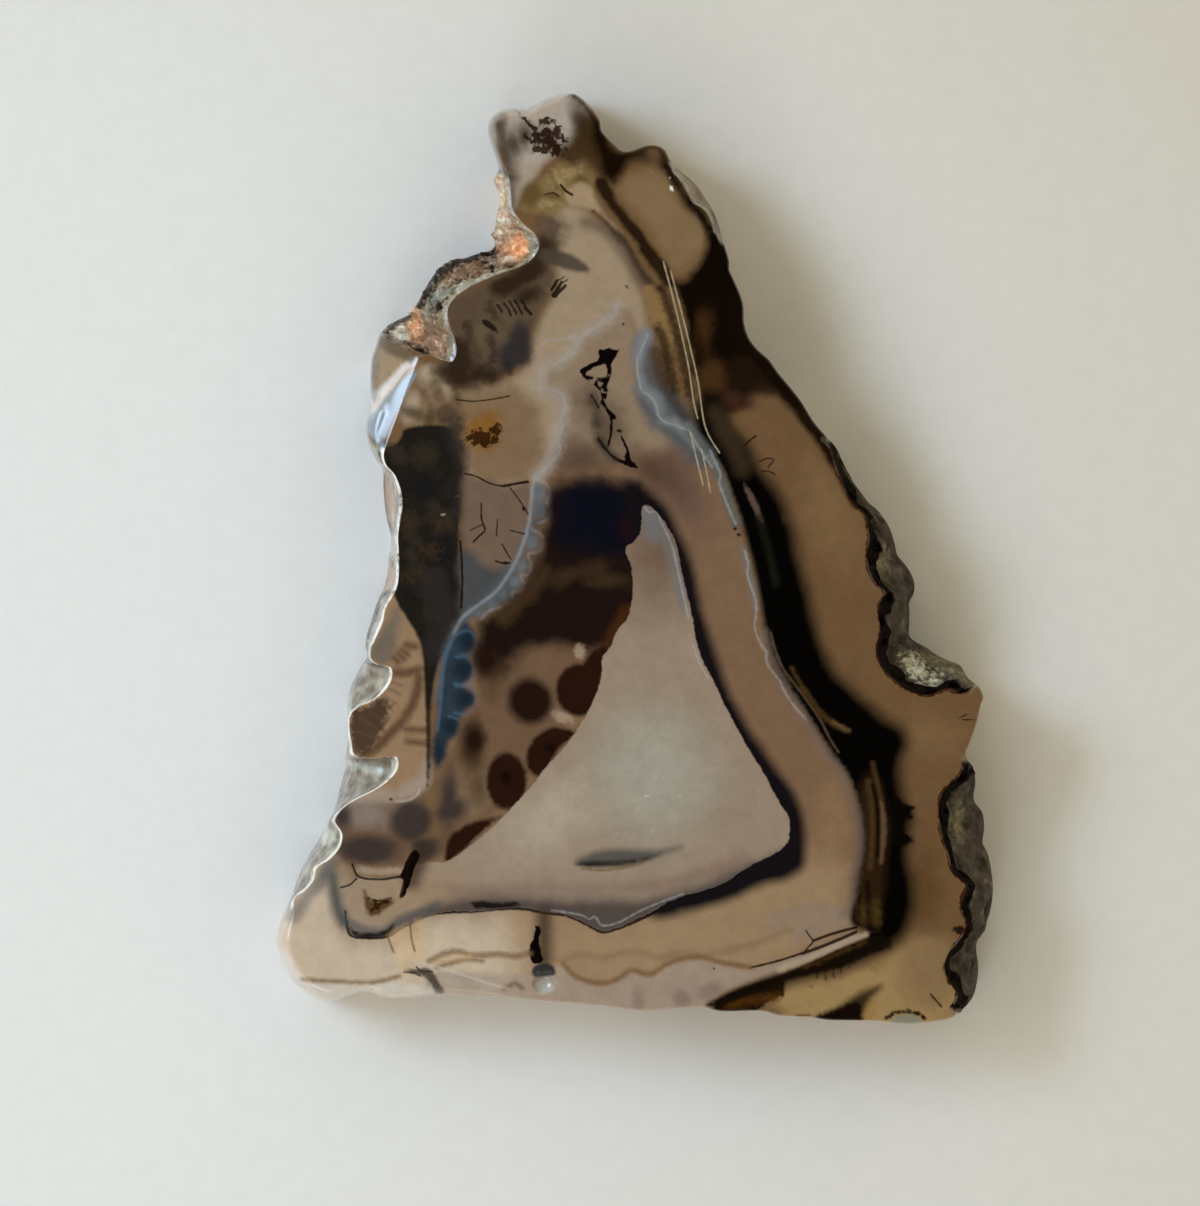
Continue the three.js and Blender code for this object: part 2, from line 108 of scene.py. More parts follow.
# The rim, counter-clockwise from the tip: widest x, widest y, face edge x, face edge y.
RIM = [
    ("tip, two smooth lobes", POLISHED, [
        (-3.8, 25.8, -3.8, 25.3), (-5.0, 25.5, -4.8, 25.05), (-6.05, 24.95, -5.85, 24.5),
        (-6.8, 25.0, -6.8, 24.5), (-7.6, 24.8, -7.3, 24.35), (-8.0, 24.4, -7.6, 24.15),
        (-8.17, 23.9, -7.7, 23.8), (-8.05, 23.25, -7.65, 23.2), (-7.75, 22.3, -7.4, 22.25),
        (-7.55, 21.6, -7.15, 21.6),
    ]),
    ("crystal-lined pocket", DRUSE, [
        (-7.8, 21.0, -6.95, 20.95), (-7.47, 20.1, -6.85, 20.1), (-7.63, 19.3, -6.75, 19.3),
        (-7.75, 18.5, -6.1, 18.45), (-7.78, 17.8, -5.5, 17.9), (-7.8, 17.35, -5.28, 17.3),
        (-8.05, 17.1, -5.5, 16.75), (-8.6, 16.98, -6.1, 16.25), (-9.4, 16.7, -7.4, 15.75),
        (-10.35, 16.47, -8.5, 15.3), (-10.9, 16.08, -9.3, 14.9), (-11.5, 15.25, -10.0, 14.35),
        (-11.97, 14.4, -10.35, 13.75), (-12.36, 13.7, -10.3, 13.0), (-12.7, 13.45, -10.0, 12.2),
        (-13.05, 13.3, -9.87, 11.5), (-13.4, 13.12, -10.1, 10.85), (-13.7, 12.95, -10.7, 10.95),
        (-14.0, 12.65, -11.4, 11.2),
    ]),
    ("top of the ground facet", FACET_TOP, [
        (-14.2, 12.35, -11.9, 11.1), (-14.42, 11.7, -12.1, 10.75), (-14.62, 11.1, -12.2, 10.4),
    ]),
    ("upper part of the ground facet", FACET_UPPER, [(-14.7, 10.2, -12.45, 9.8)]),
    ("middle of the ground facet", FACET_MIDDLE, [(-14.7, 9.2, -12.75, 8.9)]),
    ("lower part of the ground facet", FACET_LOWER, [
        (-14.75, 8.2, -13.1, 7.9), (-14.93, 7.4, -13.5, 6.9), (-14.9, 6.8, -13.75, 6.25),
    ]),
    ("foot of the ground facet", FACET_FOOT, [
        (-14.72, 6.15, -13.9, 5.7), (-14.36, 5.4, -13.75, 5.1),
    ]),
    ("rippled left edge", CHIP, [
        (-14.02, 4.95, -13.3, 4.6), (-13.98, 4.0, -13.0, 3.9), (-13.9, 2.9, -12.85, 3.0),
        (-13.75, 2.0, -13.0, 2.0), (-13.55, 1.1, -13.1, 1.2), (-13.66, 0.0, -13.05, -0.1),
        (-13.85, -1.4, -13.15, -1.6), (-14.4, -2.7, -13.8, -2.9), (-14.62, -3.4, -13.95, -3.6),
        (-14.9, -4.3, -14.35, -4.5), (-14.98, -4.95, -14.6, -5.05), (-14.87, -5.5, -14.6, -5.6),
    ]),
    ("two flake scars", SCAR, [
        (-15.1, -5.85, -14.2, -5.95), (-15.25, -6.1, -13.5, -6.1), (-15.5, -6.6, -13.45, -6.7),
        (-15.75, -7.1, -13.8, -7.35), (-15.9, -7.65, -14.5, -7.95), (-15.97, -8.2, -15.3, -8.3),
        (-16.0, -8.8, -15.75, -8.8), (-15.98, -10.4, -15.65, -10.45), (-16.05, -10.95, -15.5, -10.95),
        (-16.08, -11.25, -14.3, -11.15), (-16.07, -11.5, -13.2, -11.05),
        (-16.15, -11.95, -13.1, -11.65), (-16.3, -12.5, -13.5, -12.25), (-16.45, -13.05, -14.3, -12.85),
        (-16.58, -13.5, -15.3, -13.35), (-16.72, -14.05, -16.15, -13.9), (-17.0, -14.6, -16.6, -14.6),
        (-17.3, -15.1, -16.2, -15.3), (-17.6, -15.75, -16.3, -16.0), (-18.05, -16.45, -16.9, -16.75),
        (-18.4, -17.05, -17.6, -17.2), (-18.7, -17.7, -17.8, -17.9), (-18.95, -18.4, -18.3, -18.5),
        (-19.2, -19.15, -18.85, -18.9),
    ]),
    ("smooth lower edge", POLISHED, [
        (-19.6, -20.0, -18.9, -19.9), (-19.87, -20.8, -19.1, -20.8), (-19.92, -21.5, -19.15, -21.5),
        (-19.7, -22.25, -18.95, -22.1), (-19.35, -23.05, -18.7, -22.7), (-18.8, -23.8, -18.25, -23.25),
        (-18.0, -24.37, -17.7, -23.7), (-17.35, -24.62, -17.2, -23.9), (-16.7, -24.66, -16.6, -23.95),
        (-16.0, -24.42, -15.95, -23.75), (-14.9, -24.17, -14.9, -23.65),
        (-13.75, -24.53, -13.7, -23.95), (-11.0, -24.4, -11.0, -23.9),
    ]),
    ("crisp lower edge", EASED, [
        (-7.1, -24.42, -7.1, -24.0),
        (-5.0, -24.62, -5.0, -24.2), (-2.4, -24.82, -2.4, -24.4), (0.6, -25.14, 0.6, -24.75),
        (2.4, -25.0, 2.4, -24.65), (3.8, -24.97, 3.8, -24.65), (4.7, -25.17, 4.7, -24.85),
        (7.2, -25.18, 7.2, -24.85), (7.9, -25.4, 7.9, -25.0), (9.8, -25.52, 9.8, -25.2),
        (10.6, -25.66, 10.6, -25.3), (13.4, -25.72, 13.4, -25.4), (15.0, -25.88, 15.0, -25.35),
        (16.8, -25.73, 16.6, -25.2), (17.7, -25.5, 17.2, -25.0),
    ]),
    ("lower rind", RIND, [
        (18.4, -25.05, 17.65, -24.75), (18.9, -24.35, 17.85, -24.1), (19.1, -23.5, 17.35, -23.4),
        (19.15, -22.7, 17.15, -22.7), (19.05, -21.95, 17.4, -21.9), (19.07, -21.45, 17.95, -21.2),
        (19.45, -20.7, 18.4, -20.4), (19.77, -19.85, 18.12, -19.6), (19.95, -18.9, 18.12, -18.9),
        (19.95, -18.0, 18.4, -18.2), (19.83, -17.15, 17.6, -17.4), (19.65, -16.4, 17.38, -16.5),
        (19.4, -15.9, 17.1, -15.75), (19.48, -15.0, 16.87, -14.9), (19.38, -14.2, 16.85, -14.0),
        (18.9, -13.5, 17.0, -13.1), (19.0, -12.5, 17.7, -12.35), (18.88, -11.75, 18.15, -11.75),
    ]),
    ("right corner", EASED, [
        (18.37, -10.95, 18.05, -10.9), (18.6, -10.3, 18.3, -10.2), (18.95, -9.3, 18.65, -9.2),
        (19.24, -8.1, 18.95, -8.15), (19.36, -7.75, 19.05, -7.8), (19.1, -7.13, 18.75, -7.55),
    ]),
    ("upper rind", RIND, [
        (18.65, -6.78, 18.1, -7.55), (18.08, -5.97, 17.2, -7.38), (17.6, -5.78, 16.3, -7.68),
        (16.97, -5.5, 15.3, -7.4), (16.25, -5.0, 14.4, -6.85), (15.6, -4.65, 13.7, -6.05),
        (15.31, -4.35, 13.4, -5.1), (15.31, -3.7, 13.62, -4.1), (15.32, -2.9, 13.5, -3.0),
        (15.31, -2.5, 13.6, -2.4), (15.55, -2.0, 13.85, -1.95), (15.6, -1.5, 13.3, -1.4),
        (15.48, -1.05, 12.95, -0.7), (15.2, -0.55, 12.85, -0.1), (14.65, 0.15, 12.9, 0.6),
        (14.5, 0.75, 12.95, 1.2), (14.3, 1.45, 12.85, 1.8), (14.0, 2.05, 12.7, 2.35),
        (13.55, 2.6, 12.2, 2.9), (13.1, 3.0, 11.85, 3.3), (12.6, 3.65, 11.6, 3.9),
        (12.15, 4.3, 11.35, 4.4), (11.5, 5.55, 10.95, 5.55), (11.25, 6.1, 10.85, 6.0),
    ]),
    ("long right edge", EASED, [
        (10.6, 6.78, 10.2, 6.6), (9.95, 7.55, 9.6, 7.35), (9.2, 8.75, 8.85, 8.55),
        (7.95, 10.3, 7.6, 10.05), (7.48, 10.97, 7.1, 10.75), (6.85, 11.53, 6.5, 11.3),
        (6.37, 12.15, 6.0, 12.0), (6.1, 12.97, 5.72, 12.9), (6.03, 14.1, 5.65, 14.0),
        (5.48, 15.5, 5.1, 15.4), (5.27, 15.95, 4.9, 15.95), (5.27, 16.4, 4.88, 16.4),
        (5.02, 17.3, 4.6, 17.2),
    ]),
    ("pale crust by the tip", CRUST, [
        (4.8, 18.1, 4.35, 18.05), (4.55, 18.95, 4.1, 18.9), (4.2, 19.63, 3.75, 19.35),
        (3.87, 20.1, 3.2, 19.65), (3.5, 20.67, 2.8, 20.4), (3.05, 21.12, 2.45, 20.95),
        (2.5, 21.58, 2.1, 21.35),
    ]),
    ("right lobe of the tip", EASED, [
        (1.97, 22.05, 1.65, 21.9), (1.75, 22.55, 1.4, 22.3), (1.4, 22.82, 1.15, 22.5),
        (0.94, 22.89, 0.85, 22.55), (0.4, 22.79, 0.4, 22.45), (-0.15, 22.58, -0.2, 22.2),
        (-0.65, 22.55, -0.75, 22.15), (-1.07, 22.87, -1.3, 22.5), (-1.85, 23.75, -2.25, 23.55),
        (-1.87, 24.15, -2.3, 24.0), (-2.55, 25.14, -2.9, 24.75), (-3.35, 25.74, -3.45, 25.25),
    ]),
]

# Markings, from the deepest to the topmost, a few of them painted light and shade. Each is painted over
# those before it.
# blur: width of the fade outside and inside its edge; wobble: how far its edge strays, and over what size.
# Shapes: area (a closed smooth outline), line (its width, then its points), spot (middle, radii, turn).
Mark = namedtuple("Mark", "name colour blur strength wobble shapes within")


def mark(name, colour, blur, strength, wobble, *shapes, within=None):
    """One marking of the stone, with its shapes."""
    return Mark(name, colour, blur, strength, wobble, shapes, within)


def area(*points):
    """A closed outline."""
    return ("area", points)


def line(width, *points):
    """A stroke of one width along its points."""
    return ("line", width, points)


def spot(x, y, wide, high=None, turn=0.0):
    """A round or oval spot."""
    return ("spot", x, y, wide, high or wide, turn)


CORE_EDGE = (
    (0.5, 2.9), (1.0, 2.7), (1.6, 2.0), (2.1, 1.2), (2.4, 0.3), (2.6, -0.8), (2.9, -2.0), (3.2, -3.3),
    (3.4, -4.5), (3.8, -5.8), (4.4, -6.9), (4.9, -8.0), (5.6, -9.3), (6.3, -10.6), (7.0, -11.7),
    (7.6, -12.8), (8.1, -13.7), (8.5, -14.3), (8.6, -15.0), (8.5, -15.7), (8.1, -16.2), (7.2, -16.7),
    (6.2, -17.2), (5.0, -18.0), (4.0, -18.4), (2.9, -18.7), (1.8, -19.1), (1.2, -19.5), (0.2, -20.0),
    (-0.9, -20.5), (-1.8, -20.7), (-2.6, -20.3), (-3.8, -19.8), (-5.0, -19.6), (-6.3, -19.4), (-9.0, -19.6),
    (-10.3, -19.6), (-11.3, -19.8), (-12.0, -20.1), (-13.0, -20.5), (-13.7, -20.95), (-15.0, -21.0),
    (-15.7, -20.9), (-15.9, -20.2), (-16.0, -19.5), (-16.1, -18.4), (-15.4, -17.8), (-13.0, -17.75),
    (-12.3, -17.2), (-11.4, -16.9), (-10.4, -16.85), (-9.0, -15.9), (-7.7, -14.8), (-6.9, -14.0),
    (-6.0, -13.0), (-5.4, -12.3), (-4.9, -11.6), (-4.2, -10.9), (-3.5, -10.0), (-2.9, -9.1), (-2.4, -8.2),
    (-2.0, -7.2), (-1.8, -6.3), (-1.8, -5.6), (-1.3, -4.9), (-1.0, -4.1), (-0.4, -3.4), (-0.15, -2.4),
    (-0.1, -1.2), (-0.2, -0.4), (-0.5, 0.5), (-0.1, 0.8), (0.3, 1.3), (0.4, 1.9),
)
INNER_EDGE = (
    (3.7, 6.2), (4.5, 5.6), (5.0, 5.0), (5.55, 3.6), (6.05, 2.2), (6.5, 0.6), (6.9, -1.0), (7.2, -2.6),
    (7.45, -4.2), (7.9, -6.0), (8.5, -7.0), (9.25, -8.0), (9.95, -9.0), (10.55, -10.0), (11.15, -11.0),
    (11.95, -12.0), (12.35, -13.0), (12.55, -14.0), (12.7, -15.0), (12.7, -16.0), (12.55, -17.0),
    (12.35, -18.0), (12.2, -19.0), (12.15, -20.2), (13.2, -20.75), (12.2, -21.4), (10.3, -22.3),
    (8.5, -23.1), (6.5, -23.75), (4.9, -24.5), (3.9, -25.6), (-6.0, -25.6), (-14.0, -25.6), (-21.0, -25.0),
    (-21.0, -19.0), (-18.0, -16.6), (-16.4, -14.5), (-15.9, -13.8), (-14.0, -13.5), (-12.4, -13.2),
    (-11.4, -12.7), (-11.2, -11.0), (-10.9, -8.5), (-10.5, -5.5), (-9.6, -3.6), (-8.0, -2.7), (-6.6, -1.6),
    (-5.9, -0.4), (-5.6, 1.0), (-5.4, 2.5), (-5.4, 3.8), (-5.3, 4.6), (-4.7, 5.6), (-4.3, 6.8), (-4.1, 8.2),
    (-5.0, 9.4), (-4.8, 10.3), (-3.6, 11.2), (-2.6, 12.3), (-1.3, 13.3), (-0.9, 14.0), (0.0, 13.5),
    (0.3, 12.0), (0.2, 11.0), (0.3, 10.0), (0.6, 9.0), (1.2, 8.1), (2.0, 7.5), (2.9, 7.1), (3.4, 6.6),
)
MILKY_LINE = (
    (7.15, -4.2), (7.5, -5.4), (8.0, -6.6), (8.7, -7.8), (9.5, -9.1), (10.2, -10.2), (10.9, -11.2),
    (11.5, -12.0), (11.9, -12.9), (12.25, -14.0), (12.45, -15.0), (12.45, -16.2), (12.2, -17.5),
    (12.0, -18.8), (11.6, -19.8),
)
BUBBLE_LINE = (
    (-1.0, 13.9), (-1.2, 13.4), (-2.0, 12.8), (-3.0, 12.2), (-3.4, 11.5), (-4.0, 10.9), (-5.0, 10.5),
    (-5.2, 9.5), (-4.2, 9.0), (-3.9, 8.3), (-4.0, 7.5), (-4.3, 6.6), (-4.5, 5.8), (-4.9, 5.0), (-5.4, 4.5),
)

FINE = 0.3
COARSE = 1.4

BODY_COLOUR = "6E5439"
MARKS = (
    # the body's own light and dark
    mark("body_light", "7C6243", (1, 1), 0.9, (0.3, COARSE), spot(10.8, 2.4, 1.2, 2.6, 0.3),
        spot(16.4, -9.9, 1.6, 1)),
    mark("body_dark", "5A4126", (0.8, 0.8), 0.8, (0.3, COARSE), spot(16.1, -18.4, 0.9, 2.4)),

    # the open ground near the tip and the left shoulder
    mark("tip_beige", "80694B", (0.5, 0.6), 1.0, (0.2, COARSE), area((-0.8, 20.9), (0, 21.3), (0.6, 21.6),
        (1.2, 21.4), (1.9, 20.9), (2.4, 20.3), (2.7, 19.7), (3, 19.3), (4, 19), (4.1, 18.2), (3.9, 17.2),
        (3.3, 16.4), (2.6, 15.8), (2.1, 15.9), (1.7, 16.6), (1.2, 17.4), (0.5, 18.5), (-0.3, 19.5),
        (-0.8, 20.1))),
    mark("tip_smoke", "453524", (0.4, 0.3), 0.85, (0.2, COARSE), spot(0.0, 22.1, 0.9, 0.3),
        spot(1.6, 22.0, 0.4, 0.5), line(0.4, (2.4, 20.6), (2.9, 19.7), (3.5, 19.2), (4.2, 18.9))),
    mark("upper_pale", "9A876F", (0.4, 0.5), 1.0, (0.2, COARSE), area((-4.9, 18.6), (-4.3, 19.6),
        (-2.8, 19.4), (-2.2, 18.9), (-1.2, 17.9), (-0.4, 16.8), (0.2, 15.6), (0.5, 14.8), (0.7, 13.5),
        (0.5, 12), (0, 11), (-1, 10), (-2, 8), (-3, 6), (-4, 4), (-5.5, 3), (-9.3, 4.3), (-9.6, 5.5),
        (-10.1, 7.3), (-11.5, 7.6), (-12.6, 7.4), (-12.9, 8.2), (-12.3, 9.6), (-11.9, 10.6), (-10.8, 10.2),
        (-9, 9.6), (-7, 9.9), (-6, 10.9), (-5.7, 12.2), (-5.1, 13.7), (-4.5, 14.6), (-4.4, 16.2),
        (-4.7, 17.4))),
    mark("shoulder_tan", "796147", (0.8, 0.9), 0.9, (0.4, COARSE), area((-12.6, 9.6), (-10, 9.6),
        (-7.5, 9.7), (-6, 9), (-5.2, 8), (-5, 5), (-5.5, 4), (-9.4, 4.2), (-10, 7), (-12.8, 7.4))),
    mark("shoulder_pale", "A99A85", (0.3, 0.25), 0.7, (0.3, COARSE), spot(-11.4, 10.3, 0.4, 0.35),
        spot(-12.3, 8.6, 0.3, 0.7, -0.3), spot(-10.5, 9.3, 0.2, 0.4, 0.4)),
    mark("facet_flank", "8F7B5F", (0.2, 0.2), 0.85, (0.1, COARSE), area((-12.1, 11.1), (-12.8, 9.6),
        (-13.6, 8.5), (-14.4, 7.7), (-14.6, 8.6), (-14.5, 10.4), (-14.3, 11.6), (-13.2, 11.7))),
    # painted highlight: the ground facet's pale strip where it catches the light
    mark("facet_light", "D2CCC4", (0.18, 0.1), 0.85, (0.04, FINE), line(0.3, (-12.25, 10.9), (-12.9, 10.15),
        (-13.5, 9.35), (-14.1, 8.5), (-14.55, 7.7))),
    mark("facet_streak", "4A3928", (0.3, 0.15), 0.85, (0.06, FINE), line(0.6, (-14.4, 8.8), (-14.3, 9.8),
        (-14.2, 10.8), (-13.9, 11.8)), line(0.7, (-14, 11.9), (-13.2, 11.5), (-12.4, 11.2))),
    # painted reflection: the bluish window light reflected in the ground facet
    mark("facet_glass", "8798A6", (0.08, 0.06), 0.7, (0.02, FINE), area((-12.05, 10.3), (-12.5, 9.4),
        (-13.2, 8), (-13.8, 6.7), (-13.95, 5.95), (-14.5, 6.7), (-14.6, 7.3), (-13.6, 8.8), (-12.8, 9.8))),
    mark("shoulder_mottle", "463828", (0.35, 0.3), 0.8, (0.35, COARSE), line(0.3, (-12.1, 9.5),
        (-11.5, 8.9), (-11.2, 8.2), (-11.3, 7.6)), line(0.5, (-10.4, 10.2), (-9.9, 9.3), (-9.8, 8.5)),
        spot(-10.4, 8.0, 0.7, 0.5), spot(-10.9, 9.1, 0.35, 0.5), spot(-9.4, 9.6, 0.9, 0.5),
        line(0.22, (-12.7, 8.2), (-12, 8))),
    mark("hatch", "574738", (0.5, 0.4), 1.0, (0.45, COARSE), area((-10.3, 13.7), (-9.3, 14.8), (-8, 15.4),
        (-6.3, 16.1), (-5.3, 17.2), (-5, 18.9), (-4.3, 19), (-4.1, 17.6), (-4.5, 16.4), (-4.5, 15),
        (-5, 13.8), (-5.7, 12.2), (-6.3, 10.8), (-7.2, 10.3), (-8.6, 9.9), (-9.8, 9.5), (-11.2, 10.4),
        (-10.2, 10.9), (-9.9, 11.6), (-10.2, 12.7))),
    mark("hatch_deep", "2A1D13", (0.5, 0.4), 0.92, (0.45, COARSE), line(1.0, (-7.6, 15), (-6.5, 15.4),
        (-5.5, 16.3), (-5.1, 17.2)), line(1.2, (-9.8, 11.4), (-9.8, 10.7), (-9.6, 10.1)),
        spot(-8.7, 10.1, 0.9, 0.35), spot(-9.5, 10.7, 0.6, 0.7), spot(-5.9, 14.5, 0.7, 0.4, 0.4)),
    mark("hatch_smudge", "3A2D20", (0.2, 0.12), 0.8, (0.22, FINE), line(0.4, (-9.3, 12.9), (-9, 12.1),
        (-8.7, 11.2)), line(0.3, (-8.1, 14), (-7.7, 13.3)), line(0.35, (-8, 12.2), (-7.8, 11.4),
        (-8, 10.6)), line(0.3, (-7.2, 12.9), (-6.9, 12.3)), line(0.3, (-7.2, 10.9), (-6.9, 10.3))),
    mark("hatch_blue", "2B272A", (0.5, 0.4), 0.9, (0.3, COARSE), spot(-6.8, 11.2, 1.0, 0.8, 0.35),
        spot(-6.3, 12.2, 0.5, 0.7)),
    mark("hatch_light", "65583F", (0.4, 0.2), 0.5, (0.2, COARSE), spot(-8.5, 12.5, 0.25, 0.8, -0.2),
        spot(-7.1, 13.0, 0.2, 0.7, -0.3)),
    mark("hatch_comb", "150E09", (0.06, 0.03), 0.9, (0.025, FINE), line(0.1, (-7.25, 14.1), (-7, 13.75),
        (-6.85, 13.4)), line(0.1, (-6.95, 14.2), (-6.7, 13.8), (-6.55, 13.5)), line(0.09, (-6.65, 14.25),
        (-6.4, 13.85), (-6.25, 13.5)), line(0.09, (-6.3, 14.3), (-6.1, 14)), line(0.16, (-6.05, 13.8),
        (-5.75, 13.5)), line(0.08, (-7.6, 14), (-7.35, 13.6)), area((-8.5, 13.2), (-8, 13.05),
        (-7.65, 12.65), (-7.55, 12.4), (-8.05, 12.7), (-8.4, 12.95))),
    mark("fin", "4A3F35", (0.3, 0.08), 0.92, (0.05, FINE), area((-5.1, 17), (-4.2, 16.9), (-3.4, 16.6),
        (-2.6, 15.95), (-3.4, 15.98), (-4.3, 16.25), (-5.2, 16.6))),

    # the tip
    mark("lobe", "A99D90", (0.3, 0.4), 1.0, (0.15, COARSE), area((-8.6, 24.2), (-7.6, 25.2), (-6, 25.4),
        (-4, 26.2), (-2.4, 25.6), (-2.7, 24.2), (-3.4, 23.2), (-4.4, 22.2), (-5.4, 21.4), (-6.2, 20.6),
        (-6.7, 19.4), (-7, 19.6), (-7.1, 21.2), (-7.4, 22.6), (-8.3, 23.4))),
    mark("lobe_olive", "7E6945", (0.25, 0.3), 1.0, (0.25, COARSE), area((-6.3, 19.3), (-5.2, 19.1),
        (-4.4, 18.9), (-3.6, 19.6), (-2.7, 19.9), (-2, 20.8), (-2.2, 21.8), (-3.2, 22.3), (-4.2, 22),
        (-4.9, 21.3), (-5.6, 20.9), (-5.9, 20.2))),
    mark("lobe_pale", "9F927F", (0.3, 0.25), 0.85, (0.15, COARSE), area((-7, 22), (-6.2, 21.8),
        (-5.2, 21.7), (-5.6, 20.9), (-6.3, 20.2), (-6.8, 19.5), (-6.95, 20.5))),
    mark("olive_light", "A59068", (0.25, 0.2), 0.6, (0.3, FINE), spot(-4.3, 20.9, 0.35, 0.5, 0.4),
        spot(-3.5, 21.4, 0.5, 0.25, 0.4), spot(-4.9, 19.7, 0.4, 0.2)),
    mark("olive_dark", "5A4828", (0.3, 0.25), 0.85, (0.25, COARSE), spot(-5.7, 20.2, 0.5, 0.7, -0.4),
        spot(-2.9, 20.9, 0.4, 0.2), spot(-4.6, 20.0, 0.5, 0.12), line(0.14, (-4.7, 21.4), (-4.3, 20.6),
        (-3.9, 20.1))),
    mark("lobe_smoke", "332413", (0.5, 0.4), 0.85, (0.2, COARSE), spot(-6.1, 23.3, 0.5, 0.6),
        spot(-6.8, 22.9, 0.5, 0.8), spot(-5.0, 23.3, 0.6, 0.5), line(0.6, (-5, 23.2), (-4.2, 22.5),
        (-3.5, 22)), spot(-2.9, 24.2, 0.4, 0.9, 0.4), line(0.75, (-7.5, 24), (-7.2, 22.8), (-7, 21.9),
        (-6.9, 21)), line(0.2, (-6.9, 21.4), (-6.8, 20.4), (-6.85, 19.5))),
    mark("lobe_brown", "382814", (0.6, 0.5), 0.9, (0.2, COARSE), area((-2.9, 24.4), (-2, 24.3),
        (-1.4, 23.2), (-0.8, 22.3), (-0.9, 21.2), (-1.4, 20.7), (-2.2, 21.2), (-2.9, 22), (-3.5, 22.5),
        (-3.4, 23.4))),
    mark("lobe_black", "170B03", (0.35, 0.35), 1.0, (0.15, COARSE), area((-2.2, 24.1), (-2, 24.1),
        (-1.6, 23.6), (-1, 22.6), (0.4, 22.6), (0.5, 22.3), (-0.3, 21.95), (-0.8, 21.3), (-1.2, 20.8),
        (-1.8, 21.3), (-2, 22), (-2.2, 22.7), (-2.3, 23.4))),
    mark("lobe_dendrite", "241003", (0.12, 0.05), 0.94, (0.26, FINE), spot(-5.4, 23.2, 0.36),
        spot(-4.85, 24.2, 0.3, 0.2), spot(-4.25, 23.6, 0.26), spot(-3.9, 23.15, 0.16),
        spot(-5.2, 22.6, 0.42, 0.25), spot(-4.4, 22.6, 0.42, 0.3), spot(-4.7, 23.1, 0.36),
        spot(-4.9, 23.7, 0.2, 0.4), line(0.12, (-6.3, 24.5), (-5.7, 23.9), (-5.2, 23.4)),
        line(0.1, (-6.1, 23.4), (-5.4, 22.9))),
    mark("streak_fringe", "6B5537", (0.3, 0.2), 0.8, (0.12, COARSE), line(0.9, (-1.9, 20.6), (-1.4, 19.8),
        (-0.6, 18.8), (0.2, 17.8), (0.9, 16.8), (1.6, 15.6))),
    mark("streak_pale", "A38D70", (0.2, 0.2), 0.9, (0.12, COARSE), area((-3.9, 20.2), (-3, 20.8),
        (-2.5, 20.6), (-2.2, 20), (-1.8, 19.3), (-1.2, 18.6), (-0.7, 18), (-1.1, 18.2), (-1.8, 18.9),
        (-2.8, 19.4), (-3.6, 19.6))),
    mark("tip_streaks", "20140A", (0.2, 0.15), 0.96, (0.16, COARSE), line(0.66, (-1.9, 20.8), (-1.55, 20.1),
        (-1.1, 19.45), (-0.7, 18.9), (0.1, 18), (0.75, 17), (1.4, 16.1), (1.9, 15.3)),
        line(0.16, (-2.3, 19.2), (-1.8, 18.75), (-1.3, 18.3), (-0.9, 17.8)), line(0.26, (-1.5, 18.4),
        (-1, 17.9), (-0.5, 17.4), (0, 16.4), (0.5, 15.5), (1, 14.9), (1.4, 14.85)), line(0.12, (-0.9, 18.1),
        (-0.4, 17.1), (0.3, 16), (0.9, 15.2))),
    mark("streak_shade", "5A4C3E", (0.5, 0.3), 0.7, (0.1, COARSE), line(0.5, (-2.6, 18.6), (-1.7, 18.2),
        (-0.9, 17.4), (-0.4, 16.6), (0.2, 15.5), (0.6, 14.9))),

    # the dark shoulder and the dark edge below it
    mark("dark_shoulder", "0F0803", (0.3, 0.4), 1.0, (0.25, COARSE), area((2, 15.4), (2.8, 15.5),
        (3.4, 16.2), (3.9, 17), (4.2, 18.4), (5.4, 18.6), (5.9, 16), (6.6, 14), (6.8, 12.2), (8.2, 10.6),
        (9.6, 8.8), (8.6, 8.5), (8, 9), (7.2, 9.5), (6.5, 9.3), (6.2, 8.3), (5.2, 8), (4.6, 7.6), (4, 8.2),
        (3.4, 9.8), (3, 11.5), (2.6, 13.3), (2.2, 14.6))),
    mark("shoulder_foot", "20140B", (0.45, 0.3), 0.92, (0.15, COARSE), area((4.4, 9.4), (5.4, 8.9),
        (6.6, 9.1), (7.8, 8.9), (8.6, 8.3), (9.2, 8.3), (8, 10), (6.5, 11), (4.8, 10.6))),
    mark("edge_strip", "140A04", (0.3, 0.15), 0.97, (0.12, COARSE), line(0.7, (5.6, 14), (5.9, 12.6),
        (6.9, 11.2), (8, 9.9), (9.2, 8.3), (10.1, 7), (11, 5.6), (11.7, 4.4), (12.4, 3.2)),
        line(0.3, (1.7, 21.8), (2.3, 20.8), (2.9, 19.9), (3.6, 19.1), (4.1, 18.2)), line(0.0, (-7.75, 22.4),
        (-7.95, 23.2), (-8.05, 23.9), (-7.9, 24.3), (-7.5, 24.7), (-6.8, 24.9), (-6.05, 24.85), (-5, 25.4),
        (-3.8, 25.7), (-3, 25.3), (-2.5, 24.7), (-2.2, 24.2)), line(0.0, (0.3, 22.55), (0.9, 22.75),
        (1.4, 22.6), (1.7, 22))),
    mark("shoulder_amber", "4A3119", (0.6, 0.5), 0.8, (0.3, COARSE), spot(4.3, 9.9, 0.7, 0.8),
        spot(5.3, 8.5, 0.5, 0.4), spot(3.9, 12.4, 0.3, 0.8)),
    mark("shoulder_red", "3C2320", (0.5, 0.4), 0.7, (0.2, COARSE), spot(5.4, 8.6, 0.6, 0.4),
        spot(6.1, 8.6, 0.4, 0.3)),
    mark("left_of_scratch", "866A45", (0.3, 0.2), 0.9, (0.2, COARSE), area((0.6, 14.9), (1.4, 14.7),
